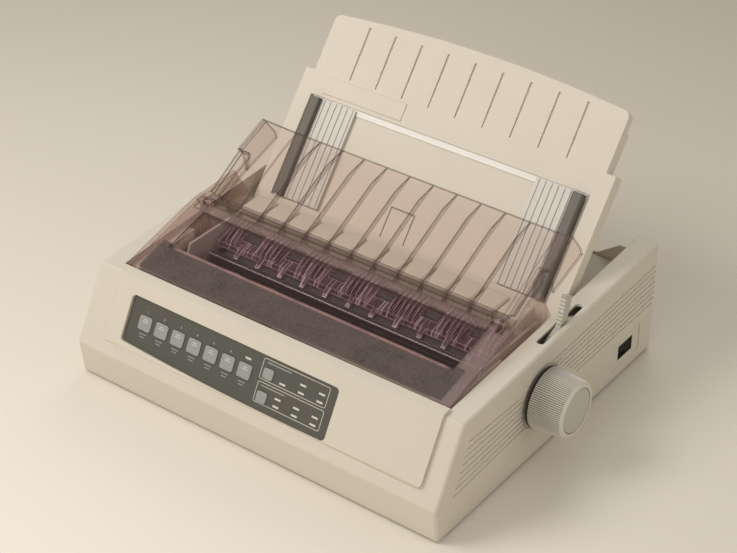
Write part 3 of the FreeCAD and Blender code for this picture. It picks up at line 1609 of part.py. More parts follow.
def flap_slits():
    """Slits on three sides of the finger flap."""
    floor, under = -pocket_depth + overrun, -pocket_depth - guide_skin - overrun
    left = block(flap_left - flap_slit, flap_left, flap_low_run, flap_high_run + flap_slit, under, floor)
    right = block(flap_right, flap_right + flap_slit, flap_low_run, flap_high_run + flap_slit, under, floor)
    top = block(flap_left, flap_right, flap_high_run, flap_high_run + flap_slit, under, floor)
    return [left, right, top]


def guide_pivot():
    return guide_point(guide_pivot_run, -guide_pivot_depth)


def sheet_guide():
    low = guide_low_run
    body = guide_body(low, 0, -guide_lower_thickness, 0)
    body = body.cut(block(-guide_half_width - overrun, guide_half_width + overrun, guide_step_run,
                          guide_arch_run + overrun, -guide_lower_thickness - overrun, -guide_upper_thickness))
    room = guide_body(low + guide_skin, guide_skin, -guide_lower_thickness - overrun, -pocket_depth - guide_skin)
    pocket = block(-pocket_half_width, pocket_half_width, pocket_low_run, pocket_high_run,
                   -pocket_depth, overrun)
    slots = [tapered_slot((i - (slot_count - 1) / 2) * slot_pitch) for i in range(slot_count)]
    body = body.cut([room, pocket] + slots + flap_slits())
    ribs = []
    for i in range(guide_rib_count):
        x = (i - (guide_rib_count - 1) / 2) * guide_half_width * 2 / guide_rib_count
        ribs.append(block(x - guide_rib_wall / 2, x + guide_rib_wall / 2, low + guide_skin,
                          guide_arch_run - guide_skin * 2, -guide_upper_thickness + guide_skin,
                          -pocket_depth - guide_skin))
    badge = block(badge_pad_left, badge_pad_right, badge_pad_low, badge_pad_high, 0, badge_pad_rise)
    body = body.fuse(ribs + [badge])
    pivot_y, pivot_z = guide_pivot()
    pin = rod(guide_half_width, opening_half_width + rail_wall, pivot_y, pivot_z, guide_pivot_radius)
    boss = rod(guide_half_width - guide_skin, guide_half_width, pivot_y, pivot_z, guide_pivot_radius * 2)
    return on_guide(body).fuse(both_sides(pin) + both_sides(boss)).removeSplitter()


def guide_rail_bar():
    """Bright bar across the pocket on which both paper guides slide."""
    return on_guide(block(-rail_bar_half_width, rail_bar_half_width, rail_bar_low_run,
                          pocket_high_run, -pocket_depth, -pocket_depth + rail_bar_thickness))


def left_paper_guide():
    """Ribbed plate at the left edge of the sheet."""
    floor = -pocket_depth + paper_guide_lift
    top = floor + paper_guide_thickness
    outer = -paper_guide_outer + paper_guide_grip
    plate = block(outer, -paper_guide_inner, paper_guide_low_run, paper_guide_high_run, floor, top)
    relief = block(outer - overrun, -paper_guide_inner + overrun, rail_bar_low_run - fit_gap,
                   paper_guide_high_run + overrun, floor - overrun,
                   -pocket_depth + rail_bar_thickness + fit_gap)
    ribs = []
    pitch = (paper_guide_outer - paper_guide_grip - paper_guide_inner) / paper_guide_ribs
    for i in range(paper_guide_ribs):
        x = outer + (i + 0.5) * pitch
        ribs.append(block(x - paper_guide_rib_width / 2, x + paper_guide_rib_width / 2,
                          paper_guide_low_run, paper_guide_high_run, top, top + paper_guide_rib_height))
    return on_guide(joined([plate.cut(relief)] + ribs))


def left_guide_grip():
    """Dark upstand on the paper guide's outer edge."""
    floor = -pocket_depth + paper_guide_lift
    outer, inner = -paper_guide_outer, -paper_guide_outer + paper_guide_grip
    bar = block(outer, inner, paper_guide_low_run, paper_guide_high_run, floor, grip_height)
    crown = [e for e in bar.Edges if e.BoundBox.ZMin > grip_height * 0.9 and e.BoundBox.YLength > grip_height]
    bar = bar.makeFillet(grip_height * 0.4, crown)
    relief = block(outer - overrun, inner + overrun, rail_bar_low_run - fit_gap,
                   paper_guide_high_run + overrun, floor - overrun,
                   -pocket_depth + rail_bar_thickness + fit_gap)
    return on_guide(bar.cut(relief))


def right_paper_guide():
    return mirrored(left_paper_guide())


def right_guide_grip():
    return mirrored(left_guide_grip())


# Lever, switch, sockets and inner pieces

def release_lever():
    x0, x1 = lever_x - lever_thickness / 2, lever_x + lever_thickness / 2
    front, back = lever_front_y, lever_front_y + lever_width
    lean = lever_lean
    points = [(lever_pivot_y + lever_hub_radius * 0.8, lever_pivot_z), (back, lever_neck_z),
              (back + lean * 0.9, lever_top_z - lever_lean * 0.7), (front + lean, lever_top_z)]
    pitch = (lever_top_z - lever_neck_z) / (lever_teeth + 1)
    for i in range(lever_teeth):
        z = lever_top_z - (i + 0.6) * pitch
        y = front + lean * (z - lever_neck_z) / (lever_top_z - lever_neck_z)
        points += [(y, z), (y + lever_tooth_depth, z - pitch * 0.5)]
    points += [(front, lever_neck_z), (lever_pivot_y - lever_hub_radius * 0.8, lever_pivot_z)]
    hub = rod(x0, x1, lever_pivot_y, lever_pivot_z, lever_hub_radius)
    rim = []
    for i in range(lever_shield_steps + 1):
        angle = lever_shield_angle * (1 - 2 * i / lever_shield_steps)
        rim.append((lever_pivot_y + lever_shield_radius * sin_of(angle),
                    lever_pivot_z + lever_shield_radius * cos_of(angle)))
    shield = side_slab([(lever_pivot_y, lever_pivot_z)] + rim, x0, x1)
    blade = side_slab(points[::-1], x0, x1)
    hole = rod(x0 - overrun, x1 + overrun, lever_pivot_y, lever_pivot_z, lever_stud_radius + running_fit)
    return joined([blade, hub, shield]).cut(hole)


def switch_housing():
    """Frame of the power switch, snapped into the case's right wall."""
    outer = switch_hole(0, half_width - switch_depth, half_width - groove_depth)
    inner = block(half_width - switch_depth + switch_bezel, half_width + overrun,
                  switch_y - switch_length / 2 + switch_bezel, switch_y + switch_length / 2 - switch_bezel,
                  switch_z - switch_height / 2 + switch_bezel, switch_z + switch_height / 2 - switch_bezel)
    holes = post(rocker_pivot()[0], switch_y, switch_z - switch_height / 2 - overrun,
                 switch_z + switch_height / 2 + overrun, rocker_pin_radius + running_fit)
    return outer.cut([inner, holes])


def rocker_pivot():
    return half_width - groove_depth - rocker_pivot_depth, switch_y, switch_z


def power_rocker():
    """Rocker on two pins that stands out at its rear end and is pressed in at the front."""
    corners = ((-rocker_back_in, -rocker_back_reach), (rocker_tip_out, -rocker_tip_reach),
               (rocker_middle_out, 0), (rocker_tip_out, rocker_tip_reach), (-rocker_back_in, rocker_back_reach))
    pivot_x, pivot_y, pivot_z = rocker_pivot()
    gap = switch_bezel + fit_gap
    body = flat_slab([(pivot_x + x, pivot_y + y) for x, y in corners],
                     pivot_z - switch_height / 2 + gap, pivot_z + switch_height / 2 - gap)
    pin = post(pivot_x, pivot_y, pivot_z - switch_height / 2 + fit_gap, pivot_z + switch_height / 2 - fit_gap,
               rocker_pin_radius)
    rocker = body.fuse(pin).removeSplitter()
    rocker.rotate(V(pivot_x, pivot_y, pivot_z), Z_AXIS, -rocker_swing / 2)
    return rocker


def mains_inlet():
    """Three-pin inlet in the back wall, without its cord."""
    half_w, half_h = inlet_width / 2, inlet_height / 2
    back, front = case_depth, case_depth - inlet_depth
    shell = block(inlet_x - half_w, inlet_x + half_w, front, back, inlet_z - half_h, inlet_z + half_h)
    room = block(inlet_x - half_w + switch_bezel, inlet_x + half_w - switch_bezel, front + switch_bezel,
                 back + overrun, inlet_z - half_h + switch_bezel, inlet_z + half_h - switch_bezel)
    pins = []
    for column, row in ((-1, -0.4), (0, 0.4), (1, -0.4)):
        pins.append(Part.makeCylinder(inlet_pin_radius, inlet_depth * 0.7,
                                      V(inlet_x + column * inlet_pin_spacing, front,
                                        inlet_z + row * inlet_pin_spacing), Y_AXIS))
    return shell.cut(room).fuse(pins).removeSplitter()


def interface_port():
    """Wide interface socket in the back wall."""
    half_w, half_h = port_width / 2, port_height / 2
    back, front = case_depth, case_depth - port_depth
    shell = block(port_x - half_w, port_x + half_w, front, back, port_z - half_h, port_z + half_h)
    room = block(port_x - half_w + switch_bezel, port_x + half_w - switch_bezel, front + switch_bezel,
                 back + overrun, port_z - half_h + switch_bezel, port_z + half_h - switch_bezel)
    tongue = block(port_x - half_w * 0.85, port_x + half_w * 0.85, front, back - switch_bezel,
                   port_z - port_tongue_height / 2, port_z + port_tongue_height / 2)
    stem = block(port_x - half_w * 0.6, port_x + half_w * 0.6, front - port_depth * 0.4, front,
                 board_z + board_thickness, port_z)
    return shell.cut(room).fuse([tongue, stem]).removeSplitter()


def main_board():
    """Circuit board with its larger components."""
    z = board_z + board_thickness
    board = block(board_left, board_right, board_front_y, board_back_y, board_z, z)
    span_x, span_y = board_right - board_left, board_back_y - board_front_y
    chips_shares = ((0.10, 0.15, 0.24, 0.14, 3.0), (0.45, 0.20, 0.16, 0.16, 3.0),
                    (0.10, 0.45, 0.20, 0.12, 3.0), (0.72, 0.15, 0.08, 0.18, 9.0),
                    (0.86, 0.15, 0.07, 0.16, 11.0), (0.70, 0.50, 0.22, 0.10, 7.0))
    parts = [board]
    for x_share, y_share, width_share, depth_share, height_share in chips_shares:
        x, y = board_left + span_x * x_share, board_front_y + span_y * y_share
        parts.append(block(x, x + span_x * width_share, y, y + span_y * depth_share, z,
                           z + board_thickness * height_share))
    return joined(parts)


def transformer():
    low = floor_z
    half_l, half_d = transformer_length / 2, transformer_depth / 2
    core = block(transformer_x - half_l, transformer_x + half_l, transformer_y - half_d,
                 transformer_y + half_d, low, low + transformer_height)
    coil = rounded_slab(transformer_x - half_l + coil_inset, transformer_x + half_l - coil_inset,
                        transformer_y - half_d - coil_stand_out, transformer_y + half_d + coil_stand_out,
                        low + coil_inset, low + transformer_height - coil_inset, case_wall)
    return joined([core, coil])


def rear_deck():
    """Inner floor of the rear well, over the boards."""
    line = [(deck_front_y, deck_front_z), (deck_bend_y, deck_front_z),
            (deck_back_y, deck_back_z)]
    return side_slab(ribbon(line, deck_wall), -opening_half_width, opening_half_width)


def pieces():
    """Every node's name and its shape in the case frame."""
    table = {
        "upper_case": upper_case(),
        "lower_case": lower_case(),
        "case_screws": case_screws(),
        "rubber_feet": rubber_feet(),
        "front_panel": front_panel(),
        "key_panel": key_panel(),
        "key_board": key_board(),
        "status_lamps": status_lamps(),
        "front_cover": front_cover(),
        "rear_cover": rear_cover(),
        "hinge_brackets": hinge_brackets(),
        "left_side_frame": left_side_frame(),
        "right_side_frame": right_side_frame(),
        "platen_bushes": platen_bushes(),
        "platen_roller": platen_roller(),
        "platen_shaft": platen_shaft(),
        "platen_knob": platen_knob(),
        "knob_cap": knob_cap(),
        "platen_gear": platen_gear(),
        "idler_gear": idler_gear(),
        "feed_pinion": feed_pinion(),
        "feed_motor": feed_motor(),
        "pressure_shaft": pressure_shaft(),
        "pressure_rollers": pressure_rollers(),
        "paper_comb": paper_comb(),
        "paper_chute": paper_chute(),
        "bail_rod": bail_rod(),
        "bail_arms": bail_arms(),
        "guide_shaft": guide_shaft(),
        "front_rail": front_rail(),
        "carriage": carriage(),
        "print_head": print_head(),
        "ribbon_cartridge": ribbon_cartridge(),
        "drive_belt": drive_belt(),
        "drive_pulley": drive_pulley(),
        "idler_pulley": idler_pulley(),
        "space_motor": space_motor(),
        "sheet_guide": sheet_guide(),
        "guide_rail_bar": guide_rail_bar(),
        "left_paper_guide": left_paper_guide(),
        "left_guide_grip": left_guide_grip(),
        "right_paper_guide": right_paper_guide(),
        "right_guide_grip": right_guide_grip(),
        "release_lever": release_lever(),
        "switch_housing": switch_housing(),
        "power_rocker": power_rocker(),
        "mains_inlet": mains_inlet(),
        "interface_port": interface_port(),
        "main_board": main_board(),
        "transformer": transformer(),
        "rear_deck": rear_deck(),
    }
    for i, place in enumerate(key_places()):
        table["key_%d" % (i + 1)] = key(place)
    return table


def main():
    os.makedirs("parts", exist_ok=True)
    for name, shape in pieces().items():
        placed = shape.copy()
        placed.translate(row_shift)
        placed.exportStep("parts/%s.step" % name)


if __name__ == "__main__":
    main()
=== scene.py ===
"""Finishes and small details of a desk-top dot matrix printer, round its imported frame."""

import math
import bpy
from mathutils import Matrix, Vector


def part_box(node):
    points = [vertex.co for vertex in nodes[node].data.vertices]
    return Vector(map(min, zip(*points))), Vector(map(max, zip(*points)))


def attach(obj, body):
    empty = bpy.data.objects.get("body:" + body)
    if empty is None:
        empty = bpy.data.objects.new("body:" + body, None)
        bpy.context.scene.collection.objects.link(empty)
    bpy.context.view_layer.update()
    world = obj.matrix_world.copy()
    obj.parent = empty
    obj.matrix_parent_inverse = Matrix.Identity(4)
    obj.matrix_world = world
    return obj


bl_info = {
    "name": "Dot matrix printer",
    "version": (1, 0, 0),
    "blender": (4, 5, 0),
    "location": "View3D > Sidebar > Printer",
    "description": "Gives the printer its plastics, smoked covers, key legends and stage",
    "category": "Object",
}

import bpy
from mathutils import Matrix, Vector

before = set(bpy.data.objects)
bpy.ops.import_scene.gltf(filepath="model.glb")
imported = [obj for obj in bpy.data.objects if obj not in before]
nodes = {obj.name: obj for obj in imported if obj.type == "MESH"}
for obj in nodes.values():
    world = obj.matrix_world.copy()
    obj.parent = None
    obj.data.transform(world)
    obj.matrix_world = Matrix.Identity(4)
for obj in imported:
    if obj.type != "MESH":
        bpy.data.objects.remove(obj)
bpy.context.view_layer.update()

MM = 0.001

# Planes of the case, in millimetres and degrees, as the part's source has them
FRONT_CREASE, FRONT_TOP = (-4.0, 36.0), (33.5, 103.0)
FRONT_ANGLE = math.degrees(math.atan2(FRONT_TOP[1] - FRONT_CREASE[1], FRONT_TOP[0] - FRONT_CREASE[0]))
PANEL_LEFT, PANEL_RIGHT = -153.0, 80.5
PANEL_TURN = -1.08
PANEL_DEPTH = 0.3
RIM_RISE, RIM_LENGTH = 15.0, 312.5
COVER_FRONT, COVER_GAP = 44.3, 0.3
COVER_START = (COVER_FRONT,
               FRONT_TOP[1] + (COVER_FRONT - FRONT_TOP[0]) * RIM_RISE / RIM_LENGTH + COVER_GAP)
COVER_ANGLE = 14.4

# Zones of the smoked cover, in millimetres across it and up from its front edge
WINDOW_MIDDLE, WINDOW_HALF, WINDOW_CORNER = (0, 59.0), (156.0, 25.6), 6.0
FROST_ROWS, FROST_REACH = (3.2, 40.0), 166.0
# Rows and reach of the window's front lip, which carries a painted rose highlight
LIP_HIGHLIGHT_ROWS, LIP_HIGHLIGHT_REACH = (33.4, 37.6), (-148.0, 150.0)
RIGHT_EDGE, RIGHT_FADE = (154.0, 160.0), (120.0, 10.0)
RIM_FADE = (112.0, 104.0)

# Clear plastics: how far two normals agree on a flat and on a rim, and what shadow rays leave out
RIM_FLAT, RIM_SHARP = 0.998, 0.965
SHADOW_LOSS = 0.75

# Knob and the dark disc behind it, in millimetres: radii at the case and at the face, and what tapers
# between them
KNOB_BASE, KNOB_FACE, KNOB_RIM, FLUTE_DEPTH = 28.6, 26.1, 1.6, 0.7
# Depths behind the knob's face between which its painted highlight ring starts
KNOB_HIGHLIGHT_RING = (2.2, 1.8)
# Dark disc behind the knob, painted shade in the gap to the case: its width, and how much smaller its
# radius is than the knob's
SHADE_DISC_WIDTH, SHADE_DISC_STEP = 1.8, 0.2

# Humps over the paper chute, in millimetres
HUMP_COUNT, HUMP_PITCH, HUMP_ROUND = 12, 26.17, 3.2
HUMP_SIZE = (25.2, 26.8, 21.2)
HUMP_MIDDLE = (193.0, 95.8)

# Keys and print on the key panel, in millimetres along its plane
KEY_COUNT, MARKED_KEYS = 9, 7
KEY_WIDTH, KEY_STAND_OUT = 14.4, 1.1
KEY_PLACES = [(-132.9 + 19.42 * i, 40.8) for i in range(MARKED_KEYS)]
NUMBER_STEP, NUMBER_SIZE = 10.5, 3.0
LAMP_FRAMES = ((-0.5, 72.0, 40.7, 59.3), (0.0, 72.5, 20.3, 38.7))
LAMP_LABELS = ((17.0, 56.4, 26.0, 1.1), (17.0, 35.8, 26.0, 1.1))
LONE_LAMP = (KEY_PLACES[-1][0], 52.2, 6.0, 1.6)
INK_RISE, INK_SUNK = 0.08, 0.1

# Camera that the picture's perspective gives, in millimetres, and the picture in pixels
CAMERA_PLACE = (851.2, -971.1, 1041.5)
CAMERA_AHEAD, CAMERA_RIGHT = (-0.4946, 0.6726, -0.5504), (0.803, 0.596, 0.0068)
CROP_WIDTH, CROP_HEIGHT = 737.0, 553.0
AIM_ACROSS, AIM_DOWN = 378.6, 268.0

# Lamps: place in millimetres, width in metres, share of the main lamp's strength, tint
LAMPS = (("main_lamp", (-900, -800, 1500), 1.0, 1.0, (1.0, 0.97, 0.92)),
         ("front_lamp", (500, -1800, 900), 1.2, 0.45, (1.0, 0.96, 0.90)),
         ("right_lamp", (1700, 700, 600), 1.2, 0.2, (1.0, 0.96, 0.88)),
         ("back_lamp", (-500, 1500, 1400), 1.0, 0.3, (1.0, 0.97, 0.93)))
LAMP_AIM = (0, 170, 80)

# Floor, with a painted pool of light: the middle of its bright part, where that fades to painted shade,
# in metres, and its two tones
FLOOR_LIGHT_POOL_MIDDLE, FLOOR_LIGHT_POOL_FADE = (0.05, -0.80, 0), (0.2, 2.1)
FLOOR_LIT_TONE, FLOOR_SHADED_TONE = (0.95, 0.89, 0.80, 1), (0.395, 0.357, 0.288, 1)


def case_origin():
    """Middle of the case's lower front edge, on the desk."""
    low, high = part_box("lower_case")
    return Vector(((low[0] + high[0]) / 2, low[1], 0))


ORIGIN = case_origin()


def at(x, y, z):
    """A point of the case, in millimetres from its origin."""
    return ORIGIN + Vector((x, y, z)) * MM


def slope(start, angle):
    """Plane across the case: X to the right, Y up the slope, Z out of it."""
    turn = Matrix.Rotation(math.radians(angle), 4, "X")
    return Matrix.Translation(at(0, start[0], start[1])) @ turn


FRONT_PLANE = slope(FRONT_CREASE, FRONT_ANGLE)
PANEL_MIDDLE = Matrix.Translation(Vector(((PANEL_LEFT + PANEL_RIGHT) / 2, 0, 0)) * MM)
PANEL_PLANE = (FRONT_PLANE @ Matrix.Translation(Vector((0, 0, -PANEL_DEPTH)) * MM) @ PANEL_MIDDLE
               @ Matrix.Rotation(math.radians(PANEL_TURN), 4, "Y") @ PANEL_MIDDLE.inverted())
COVER_PLANE = slope(COVER_START, COVER_ANGLE)


# Shader building

class Shader:
    """A node tree with short calls to add and join nodes."""

    def __init__(self, tree):
        self.tree = tree

    def add(self, kind, inputs=None, **settings):
        node = self.tree.nodes.new("ShaderNode" + kind)
        for name, value in settings.items():
            setattr(node, name, value)
        for name, value in (inputs or {}).items():
            self.feed(node.inputs[name], value)
        return node

    def feed(self, socket, value):
        if isinstance(value, bpy.types.NodeSocket):
            self.tree.links.new(value, socket)
        else:
            socket.default_value = value

    def math(self, operation, a, b=0.0, clamp=False):
        node = self.add("Math", {0: a, 1: b}, operation=operation, use_clamp=clamp)
        return node.outputs[0]

    def mix(self, share, a, b):
        node = self.add("Mix", data_type="RGBA")
        for socket, value in ((node.inputs[0], share), (node.inputs[6], a), (node.inputs[7], b)):
            self.feed(socket, value)
        return node.outputs[2]

    def ramp(self, value, low, high):
        node = self.add("MapRange", {"Value": value, "From Min": low, "From Max": high}, clamp=True)
        return node.outputs[0]

    def band(self, value, low, high, soft):
        """1 between low and high, with soft edges."""
        rise = self.ramp(value, low - soft, low + soft)
        fall = self.ramp(value, high + soft, high - soft)
        return self.math("MULTIPLY", rise, fall)


def start_group(name, inputs, outputs):
    """Start a node group with these sockets."""
    group = bpy.data.node_groups.new(name, "ShaderNodeTree")
    for label, kind, value in inputs:
        socket = group.interface.new_socket(label, in_out="INPUT", socket_type="NodeSocket" + kind)
        if value is not None:
            socket.default_value = value
    for label, kind in outputs:
        group.interface.new_socket(label, in_out="OUTPUT", socket_type="NodeSocket" + kind)
    build = Shader(group)
    start = group.nodes.new("NodeGroupInput")
    end = group.nodes.new("NodeGroupOutput")
    return group, build, start.outputs, end.inputs


def moulded_grain_group():
    """Slight mottling, a fine moulded grain and softened edges."""
    inputs = [("Vector", "Vector", None), ("Colour", "Color", (0.7, 0.66, 0.56, 1)),
              ("Roughness", "Float", 0.55), ("Mottle", "Float", 0.04),
              ("Grain size", "Float", 0.0006), ("Grain height", "Float", 0.15),
              ("Edge radius", "Float", 0.0006), ("Dust", "Float", 0.0)]
    outputs = [("Colour", "Color"), ("Roughness", "Float"), ("Normal", "Vector")]
    group, build, start, end = start_group("Moulded grain", inputs, outputs)
    vector = start["Vector"]
    cloud = build.add("TexNoise", {"Vector": vector, "Scale": 14.0, "Detail": 3.0})
    smudge = build.add("TexNoise", {"Vector": vector, "Scale": 55.0, "Detail": 5.0, "Roughness": 0.7})
    scale = build.math("DIVIDE", 1.0, start["Grain size"])
    grain = build.add("TexNoise", {"Vector": vector, "Scale": scale, "Detail": 2.0})
    shift = build.math("MULTIPLY", build.math("SUBTRACT", cloud.outputs["Fac"], 0.5), start["Mottle"])
    value = build.math("ADD", 1.0, build.math("MULTIPLY", shift, 2.0))
    tone = build.add("HueSaturation", {"Color": start["Colour"], "Value": value})
    dusty = build.math("MULTIPLY", build.ramp(smudge.outputs["Fac"], 0.52, 0.75), start["Dust"])
    build.feed(end["Colour"], build.mix(dusty, tone.outputs["Color"], (0.72, 0.68, 0.60, 1)))
    uneven = build.math("MULTIPLY", build.math("SUBTRACT", smudge.outputs["Fac"], 0.5), 0.16)
    build.feed(end["Roughness"], build.math("ADD", start["Roughness"], uneven, clamp=True))
    soft = build.add("Bevel", {"Radius": start["Edge radius"]}, samples=6)
    height = build.math("MULTIPLY", grain.outputs["Fac"], start["Grain height"])
    bump = build.add("Bump", {"Height": height, "Distance": 0.0003, "Strength": 0.5,
                              "Normal": soft.outputs["Normal"]})
    build.feed(end["Normal"], bump.outputs["Normal"])
    return group


def wipe_marks_group():
    """Wipe marks and dust specks for glossy clear plastics."""
    inputs = [("Vector", "Vector", None), ("Amount", "Float", 0.3)]
    outputs = [("Roughness", "Float"), ("Specks", "Float"), ("Height", "Float")]
    group, build, start, end = start_group("Wipe marks", inputs, outputs)
    stretch = build.add("Mapping", {"Vector": start["Vector"], "Scale": (30, 700, 700)})
    wipes = build.add("TexNoise", {"Vector": stretch.outputs["Vector"], "Scale": 1.0, "Detail": 4.0})
    haze = build.add("TexNoise", {"Vector": start["Vector"], "Scale": 40.0, "Detail": 4.0})
    cells = build.add("TexVoronoi", {"Vector": start["Vector"], "Scale": 420.0})
    specks = build.ramp(cells.outputs["Distance"], 0.16, 0.06)
    chosen = build.math("MULTIPLY", specks, build.ramp(haze.outputs["Fac"], 0.5, 0.7))
    build.feed(end["Specks"], build.math("MULTIPLY", chosen, start["Amount"]))
    both = build.math("ADD", build.ramp(wipes.outputs["Fac"], 0.5, 0.8), haze.outputs["Fac"])
    share = build.math("MULTIPLY", start["Amount"], 0.25)
    build.feed(end["Roughness"], build.math("MULTIPLY", both, share))
    build.feed(end["Height"], wipes.outputs["Fac"])
    return group


def new_material(name):
    """An empty material, with a node that gives the place in the piece's own frame."""
    material = bpy.data.materials.new(name)
    material.use_nodes = True
    material.node_tree.nodes.clear()
    build = Shader(material.node_tree)
    output = build.add("OutputMaterial")
    where = build.add("TexCoord").outputs["Object"]
    return material, build, output, where


def use_group(build, group, inputs):
    node = build.add("Group", node_tree=group)
    for name, value in inputs.items():
        build.feed(node.inputs[name], value)
    return node.outputs


def colour(value):
    """A colour with its fourth number."""
    return (value[0], value[1], value[2], 1.0)


def toned(base, share):
    """The same colour, darker or brighter."""
    return [c * share for c in base]


def plastic(name, base, rough=0.5, grain=0.0006, height=0.15, edge=0.5, dust=0.0, gloss=0.5,
            metal=0.0, edge_shade_tone=None, edge_width=0.5):
    """Moulded plastic, painted metal or rubber, with painted shade along its edges where a tone for that
    is given.
    """
    material, build, output, where = new_material(name)
    grained = use_group(build, bpy.data.node_groups["Moulded grain"],
                        {"Vector": where, "Colour": colour(base), "Roughness": rough, "Dust": dust,
                         "Grain size": grain, "Grain height": height, "Edge radius": edge * MM})
    tone = grained["Colour"]
    # An edge tone is painted shade along the piece's edges, as in the gap round the knob cap
    if edge_shade_tone:
        tone = build.mix(rim_mask(build, edge_width * MM), tone, colour(edge_shade_tone))
    surface = build.add("BsdfPrincipled", {"Base Color": tone,
                                           "Roughness": grained["Roughness"],
                                           "Normal": grained["Normal"], "Metallic": metal,
                                           "Specular IOR Level": gloss})
    build.feed(output.inputs["Surface"], surface.outputs[0])
    return material


def knurl_finish(painted_shade_tone, painted_highlight_tone):
    """Knob plastic, dark with painted shade in the valleys between its flutes and bright with painted
    highlights on their ridges and on a ring round the face.
    """
    material, build, output, where = new_material("Knob plastic")
    grained = use_group(build, bpy.data.node_groups["Moulded grain"],
                        {"Vector": where, "Roughness": 0.34, "Edge radius": 0.15 * MM})
    low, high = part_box("platen_knob")
    place = build.add("SeparateXYZ", {"Vector": where}).outputs
    squares = [build.math("POWER", build.math("SUBTRACT", place[axis], (low[i] + high[i]) / 2), 2.0)
               for axis, i in (("Y", 1), ("Z", 2))]
    reach = build.math("SQRT", build.math("ADD", *squares))
    along = build.math("SUBTRACT", place["X"], low[0])
    slope_in = (KNOB_FACE - KNOB_BASE) * MM / (high[0] - low[0] - KNOB_RIM * MM)
    outer = build.math("ADD", KNOB_BASE * MM, build.math("MULTIPLY", along, slope_in))
    depth = build.math("SUBTRACT", outer, reach)
    # Painted highlights on the flute ridges and on a ring round the face; painted shade in the valleys.
    rise = build.ramp(depth, (FLUTE_DEPTH - 0.05) * MM, 0.12 * MM)
    end = build.ramp(place["X"], high[0] - KNOB_HIGHLIGHT_RING[0] * MM, high[0] - KNOB_HIGHLIGHT_RING[1] * MM)
    tone = build.mix(build.math("MAXIMUM", rise, end), colour(painted_shade_tone), colour(painted_highlight_tone))
    surface = build.add("BsdfPrincipled", {"Base Color": tone, "Roughness": grained["Roughness"],
                                           "Normal": grained["Normal"]})
    build.feed(output.inputs["Surface"], surface.outputs[0])
    return material


def rim_mask(build, width):
    """1 along the sharp edges of a piece, such as those of a clear sheet."""
    soft = build.add("Bevel", {"Radius": width}, samples=6)
    flat = build.add("NewGeometry")
    along = build.add("VectorMath", {0: soft.outputs["Normal"], 1: flat.outputs["Normal"]},
                      operation="DOT_PRODUCT")
    return build.ramp(along.outputs["Value"], RIM_FLAT, RIM_SHARP)


def lit_share(build, share):
    """Less body for shadow rays, so that enough light reaches what lies behind a clear sheet."""
    shadow = build.add("LightPath").outputs["Is Shadow Ray"]
    kept = build.math("SUBTRACT", 1.0, build.math("MULTIPLY", shadow, SHADOW_LOSS))
    return build.math("MULTIPLY", share, kept)


def lit_tint(build, tint):
    """A paler tint for shadow rays, for the same reason."""
    shadow = build.add("LightPath").outputs["Is Shadow Ray"]
    return build.mix(build.math("MULTIPLY", shadow, SHADOW_LOSS), tint, (1, 1, 1, 1))


def mix_clear(build, output, share, clear, surface):
    """Join a see-through share and a body share in a material's output."""
    mixed = build.add("MixShader", {0: lit_share(build, share), 1: clear.outputs[0],
                                    2: surface.outputs[0]})
    build.feed(output.inputs["Surface"], mixed.outputs[0])


def see_through(name, tint, body, body_share, rim, rim_share, rough=0.08, specks=0.5, width=1.15):
    """Clear coloured plastic: a tinted see-through share, a glossy body share and its rims."""
    material, build, output, where = new_material(name)
    marks = use_group(build, bpy.data.node_groups["Wipe marks"], {"Vector": where, "Amount": specks})
    roughness = build.math("ADD", marks["Roughness"], rough, clamp=True)
    shade = build.mix(marks["Specks"], colour(body), (0.75, 0.70, 0.64, 1))
    mask = rim_mask(build, width * MM)
    shade = build.mix(mask, shade, colour(rim))
    surface = build.add("BsdfPrincipled", {"Base Color": shade, "Roughness": roughness})
    clear = build.add("BsdfTransparent", {"Color": lit_tint(build, colour(tint))})
    edge = build.add("LayerWeight", {"Blend": 0.25})
    share = build.math("ADD", body_share, build.math("MULTIPLY", edge.outputs["Facing"], 0.08))
    share = build.math("MAXIMUM", share, build.math("MULTIPLY", mask, rim_share), clamp=True)
    mix_clear(build, output, share, clear, surface)
    return material


def rounded_field(build, x, y, middle, half, radius):
    """1 inside a rectangle with rounded corners, in millimetres, 0 outside it."""
    parts = []
    for value, centre, reach in ((x, middle[0], half[0]), (y, middle[1], half[1])):
        away = build.math("ABSOLUTE", build.math("SUBTRACT", value, centre * MM))
        past = build.math("SUBTRACT", away, (reach - radius) * MM)
        parts.append(build.math("POWER", build.math("MAXIMUM", past, 0.0), 2.0))
    distance = build.math("SQRT", build.math("ADD", *parts))
    return build.ramp(distance, (radius + 0.3) * MM, (radius - 0.3) * MM)


